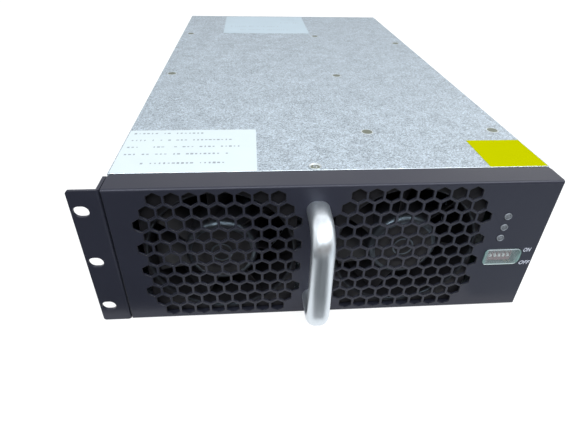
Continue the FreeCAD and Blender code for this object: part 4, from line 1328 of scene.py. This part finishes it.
def pale_world(strength):
    """White sky to the camera and in mirrors; as a lamp it is brightest above and behind."""
    world = bpy.data.worlds.new("studio")
    world.use_nodes = True
    desk = Desk(world.node_tree)
    world.node_tree.nodes.clear()
    direction = desk.add("ShaderNodeTexCoord").outputs["Generated"]
    axes = desk.add("ShaderNodeSeparateXYZ", {"Vector": direction}).outputs
    lean = desk.math("MULTIPLY_ADD", axes["Y"], SKY_LEAN, axes["Z"])
    tone = desk.mix(desk.remap(lean, *SKY_SPAN), SKY_LOW, SKY_HIGH)
    lamp = desk.add("ShaderNodeBackground", {"Color": tone, "Strength": strength})
    white = desk.add("ShaderNodeBackground", {"Color": WHITE, "Strength": 1.0})
    mixed_output(desk, lamp, white, "ShaderNodeOutputWorld")
    bpy.context.scene.world = world


# Lamps by name: place, target, width and depth in metres, and share of the power set on the stage.
SOFTBOXES = {
    "rear_softbox": ((0.5, 1.4, 1.3), (0, -0.2, 0.08), (2.2, 1.0), 1.0),
    "left_softbox": ((-1.5, 0.1, 0.9), (0, -0.1, 0.08), (0.9, 0.9), 0.4),
    "right_softbox": ((1.4, 0.1, 1.0), (0, -0.1, 0.08), (0.9, 0.9), 0.6),
}
WINDOWS = {
    "front_window": ((0.42, -1.13, 1.63), (0, -0.2, 0.04), (2.8, 0.85), 1.0),
    "side_window": ((-0.71, -1.21, 1.13), (0, -0.2, 0.04), (0.5, 0.5), 0.14),
}
LAMP_WHITE, SKY_TINT = (1, 1, 1), (0.9, 0.96, 1.0)


def add_lamps(lamps, power, tint):
    for name, (place, target, (width, depth), share) in lamps.items():
        lamp = bpy.data.lights.new(name, "AREA")
        lamp.shape = "RECTANGLE"
        lamp.size, lamp.size_y = width, depth
        lamp.energy = power * share
        lamp.color = tint
        holder = bpy.data.objects.new(name, lamp)
        holder.location = place
        holder.rotation_euler = (Vector(target) - Vector(place)).to_track_quat("-Z", "Y").to_euler()
        bpy.context.scene.collection.objects.link(holder)


COOL_GREY = (0.94, 0.97, 1.0)
# Flags' finishes: grey level and tint.
FLAG_FINISHES = {
    "dark flag": (0.07, COOL_GREY),
    "dim flag": (0.6, COOL_GREY),
    "brown flag": (0.2, (1.0, 0.5, 0.22)),
    "rear flag": (0.06, COOL_GREY),
}
FLAG_LEVEL = 1 * MM
# Flags on the floor: left and right end, near and far edge, and finish.
FLOOR_FLAGS = {
    "left_flag": (-0.45, -0.09, -0.216, -0.62, "dark flag"),
    "middle_flag": (-0.08, 0.035, -0.255, -0.33, "dark flag"),
    "far_flag": (-0.12, 0.07, -0.33, -0.62, "dark flag"),
    "right_flag": (0.09, 0.45, -0.216, -0.62, "dim flag"),
}
# Upright flags: left and right end, place along Y, height and finish.
UPRIGHT_FLAGS = {
    "front_flag": (-1.1, 1.1, -0.8, 0.6, "brown flag"),
    "rear_flag": (-2.5, 1.2, 2.2, 0.9, "rear flag"),
}


def add_flags():
    """Cards that only reflections see: a dim room round the paint, the handle and the cover."""
    finishes = {}
    for name, (grey, tint) in FLAG_FINISHES.items():
        base = (*(grey * share for share in tint), 1)
        constants = {"Base Color": base, "Roughness": 1.0, "Specular IOR Level": 0.0}
        finishes[name] = Surface(name, constants).material
    cards = []
    for name, (left, right, near, far, kind) in FLOOR_FLAGS.items():
        outline = ((left, far), (right, far), (right, near), (left, near))
        cards.append(flat_card(name, [(x, y, FLAG_LEVEL) for x, y in outline], finishes[kind]))
    for name, (left, right, y, top, kind) in UPRIGHT_FLAGS.items():
        outline = ((left, 0), (right, 0), (right, top), (left, top))
        cards.append(flat_card(name, [(x, y, z) for x, z in outline], finishes[kind]))
    for card in cards:
        card.visible_camera = False
        card.visible_diffuse = False
        card.visible_transmission = False
        card.visible_shadow = False


CAMERA_PLACE = (-0.0419, -0.3904, 0.1948)
# The camera's tilt up from straight down, its roll and its turn, in degrees about X, Y and Z.
CAMERA_ANGLES = (55.243, -1.249, -4.3)
SENSOR_WIDTH = 36.0
CAMERA_SHIFT = 0.0007
NEAREST, FARTHEST = 0.01, 100.0


class CONVERTER_OT_stage(bpy.types.Operator):
    """Lays the floor, sets the light and the camera"""

    bl_idname = "converter.stage"
    bl_label = "Stage"

    def execute(self, context):
        stage = context.scene.converter_stage
        half = stage.floor_half
        outline = ((-half, -half), (half, -half), (half, half), (-half, half))
        flat_card("floor", [(x, y, FLOOR_LEVEL) for x, y in outline], floor_material())
        add_flags()
        pale_world(stage.sky_strength)
        add_lamps(SOFTBOXES, stage.softbox_power, LAMP_WHITE)
        add_lamps(WINDOWS, stage.window_power, SKY_TINT)
        self.add_camera(context, stage.lens_length)
        context.scene.view_settings.view_transform = "Standard"
        return {"FINISHED"}

    def add_camera(self, context, lens_length):
        camera = bpy.data.cameras.new("front_camera")
        camera.lens = lens_length
        camera.sensor_width = SENSOR_WIDTH
        camera.shift_y = CAMERA_SHIFT
        camera.clip_start = NEAREST
        camera.clip_end = FARTHEST
        holder = bpy.data.objects.new("front_camera", camera)
        turn = Euler([math.radians(angle) for angle in CAMERA_ANGLES]).to_matrix().to_4x4()
        holder.matrix_world = Matrix.Translation(CAMERA_PLACE) @ turn
        context.scene.collection.objects.link(holder)
        context.scene.camera = holder


STEPS = (
    CONVERTER_OT_case,
    CONVERTER_OT_front,
    CONVERTER_OT_handle,
    CONVERTER_OT_fans,
    CONVERTER_OT_lamps,
    CONVERTER_OT_switch,
    CONVERTER_OT_rivets,
    CONVERTER_OT_screws,
    CONVERTER_OT_labels,
    CONVERTER_OT_power,
    CONVERTER_OT_connector,
    CONVERTER_OT_stage,
)


class CONVERTER_PT_panel(bpy.types.Panel):
    """Lists the steps that dress the module"""

    bl_label = "Converter Module"
    bl_idname = "CONVERTER_PT_panel"
    bl_space_type = "VIEW_3D"
    bl_region_type = "UI"
    bl_category = "Converter"

    def draw(self, context):
        column = self.layout.column(align=True)
        for step in STEPS:
            column.operator(step.bl_idname)
        for group in (sizes(), colours(), context.scene.converter_stage):
            box = self.layout.box()
            for name in group.bl_rna.properties.keys():
                if name not in ("rna_type", "name"):
                    box.prop(group, name)


GROUPS = {
    "converter_sizes": ConverterSizes,
    "converter_colours": ConverterColours,
    "converter_stage": ConverterStage,
}


def register():
    for name, group in GROUPS.items():
        bpy.utils.register_class(group)
        setattr(bpy.types.Scene, name, PointerProperty(type=group))
    for step in STEPS:
        bpy.utils.register_class(step)
    bpy.utils.register_class(CONVERTER_PT_panel)


def unregister():
    bpy.utils.unregister_class(CONVERTER_PT_panel)
    for step in reversed(STEPS):
        bpy.utils.unregister_class(step)
    for name, group in GROUPS.items():
        delattr(bpy.types.Scene, name)
        bpy.utils.unregister_class(group)


def main():
    register()
    for step in STEPS:
        name = step.bl_idname.split(".")[1]
        getattr(bpy.ops.converter, name)()


if __name__ == "__main__":
    main()
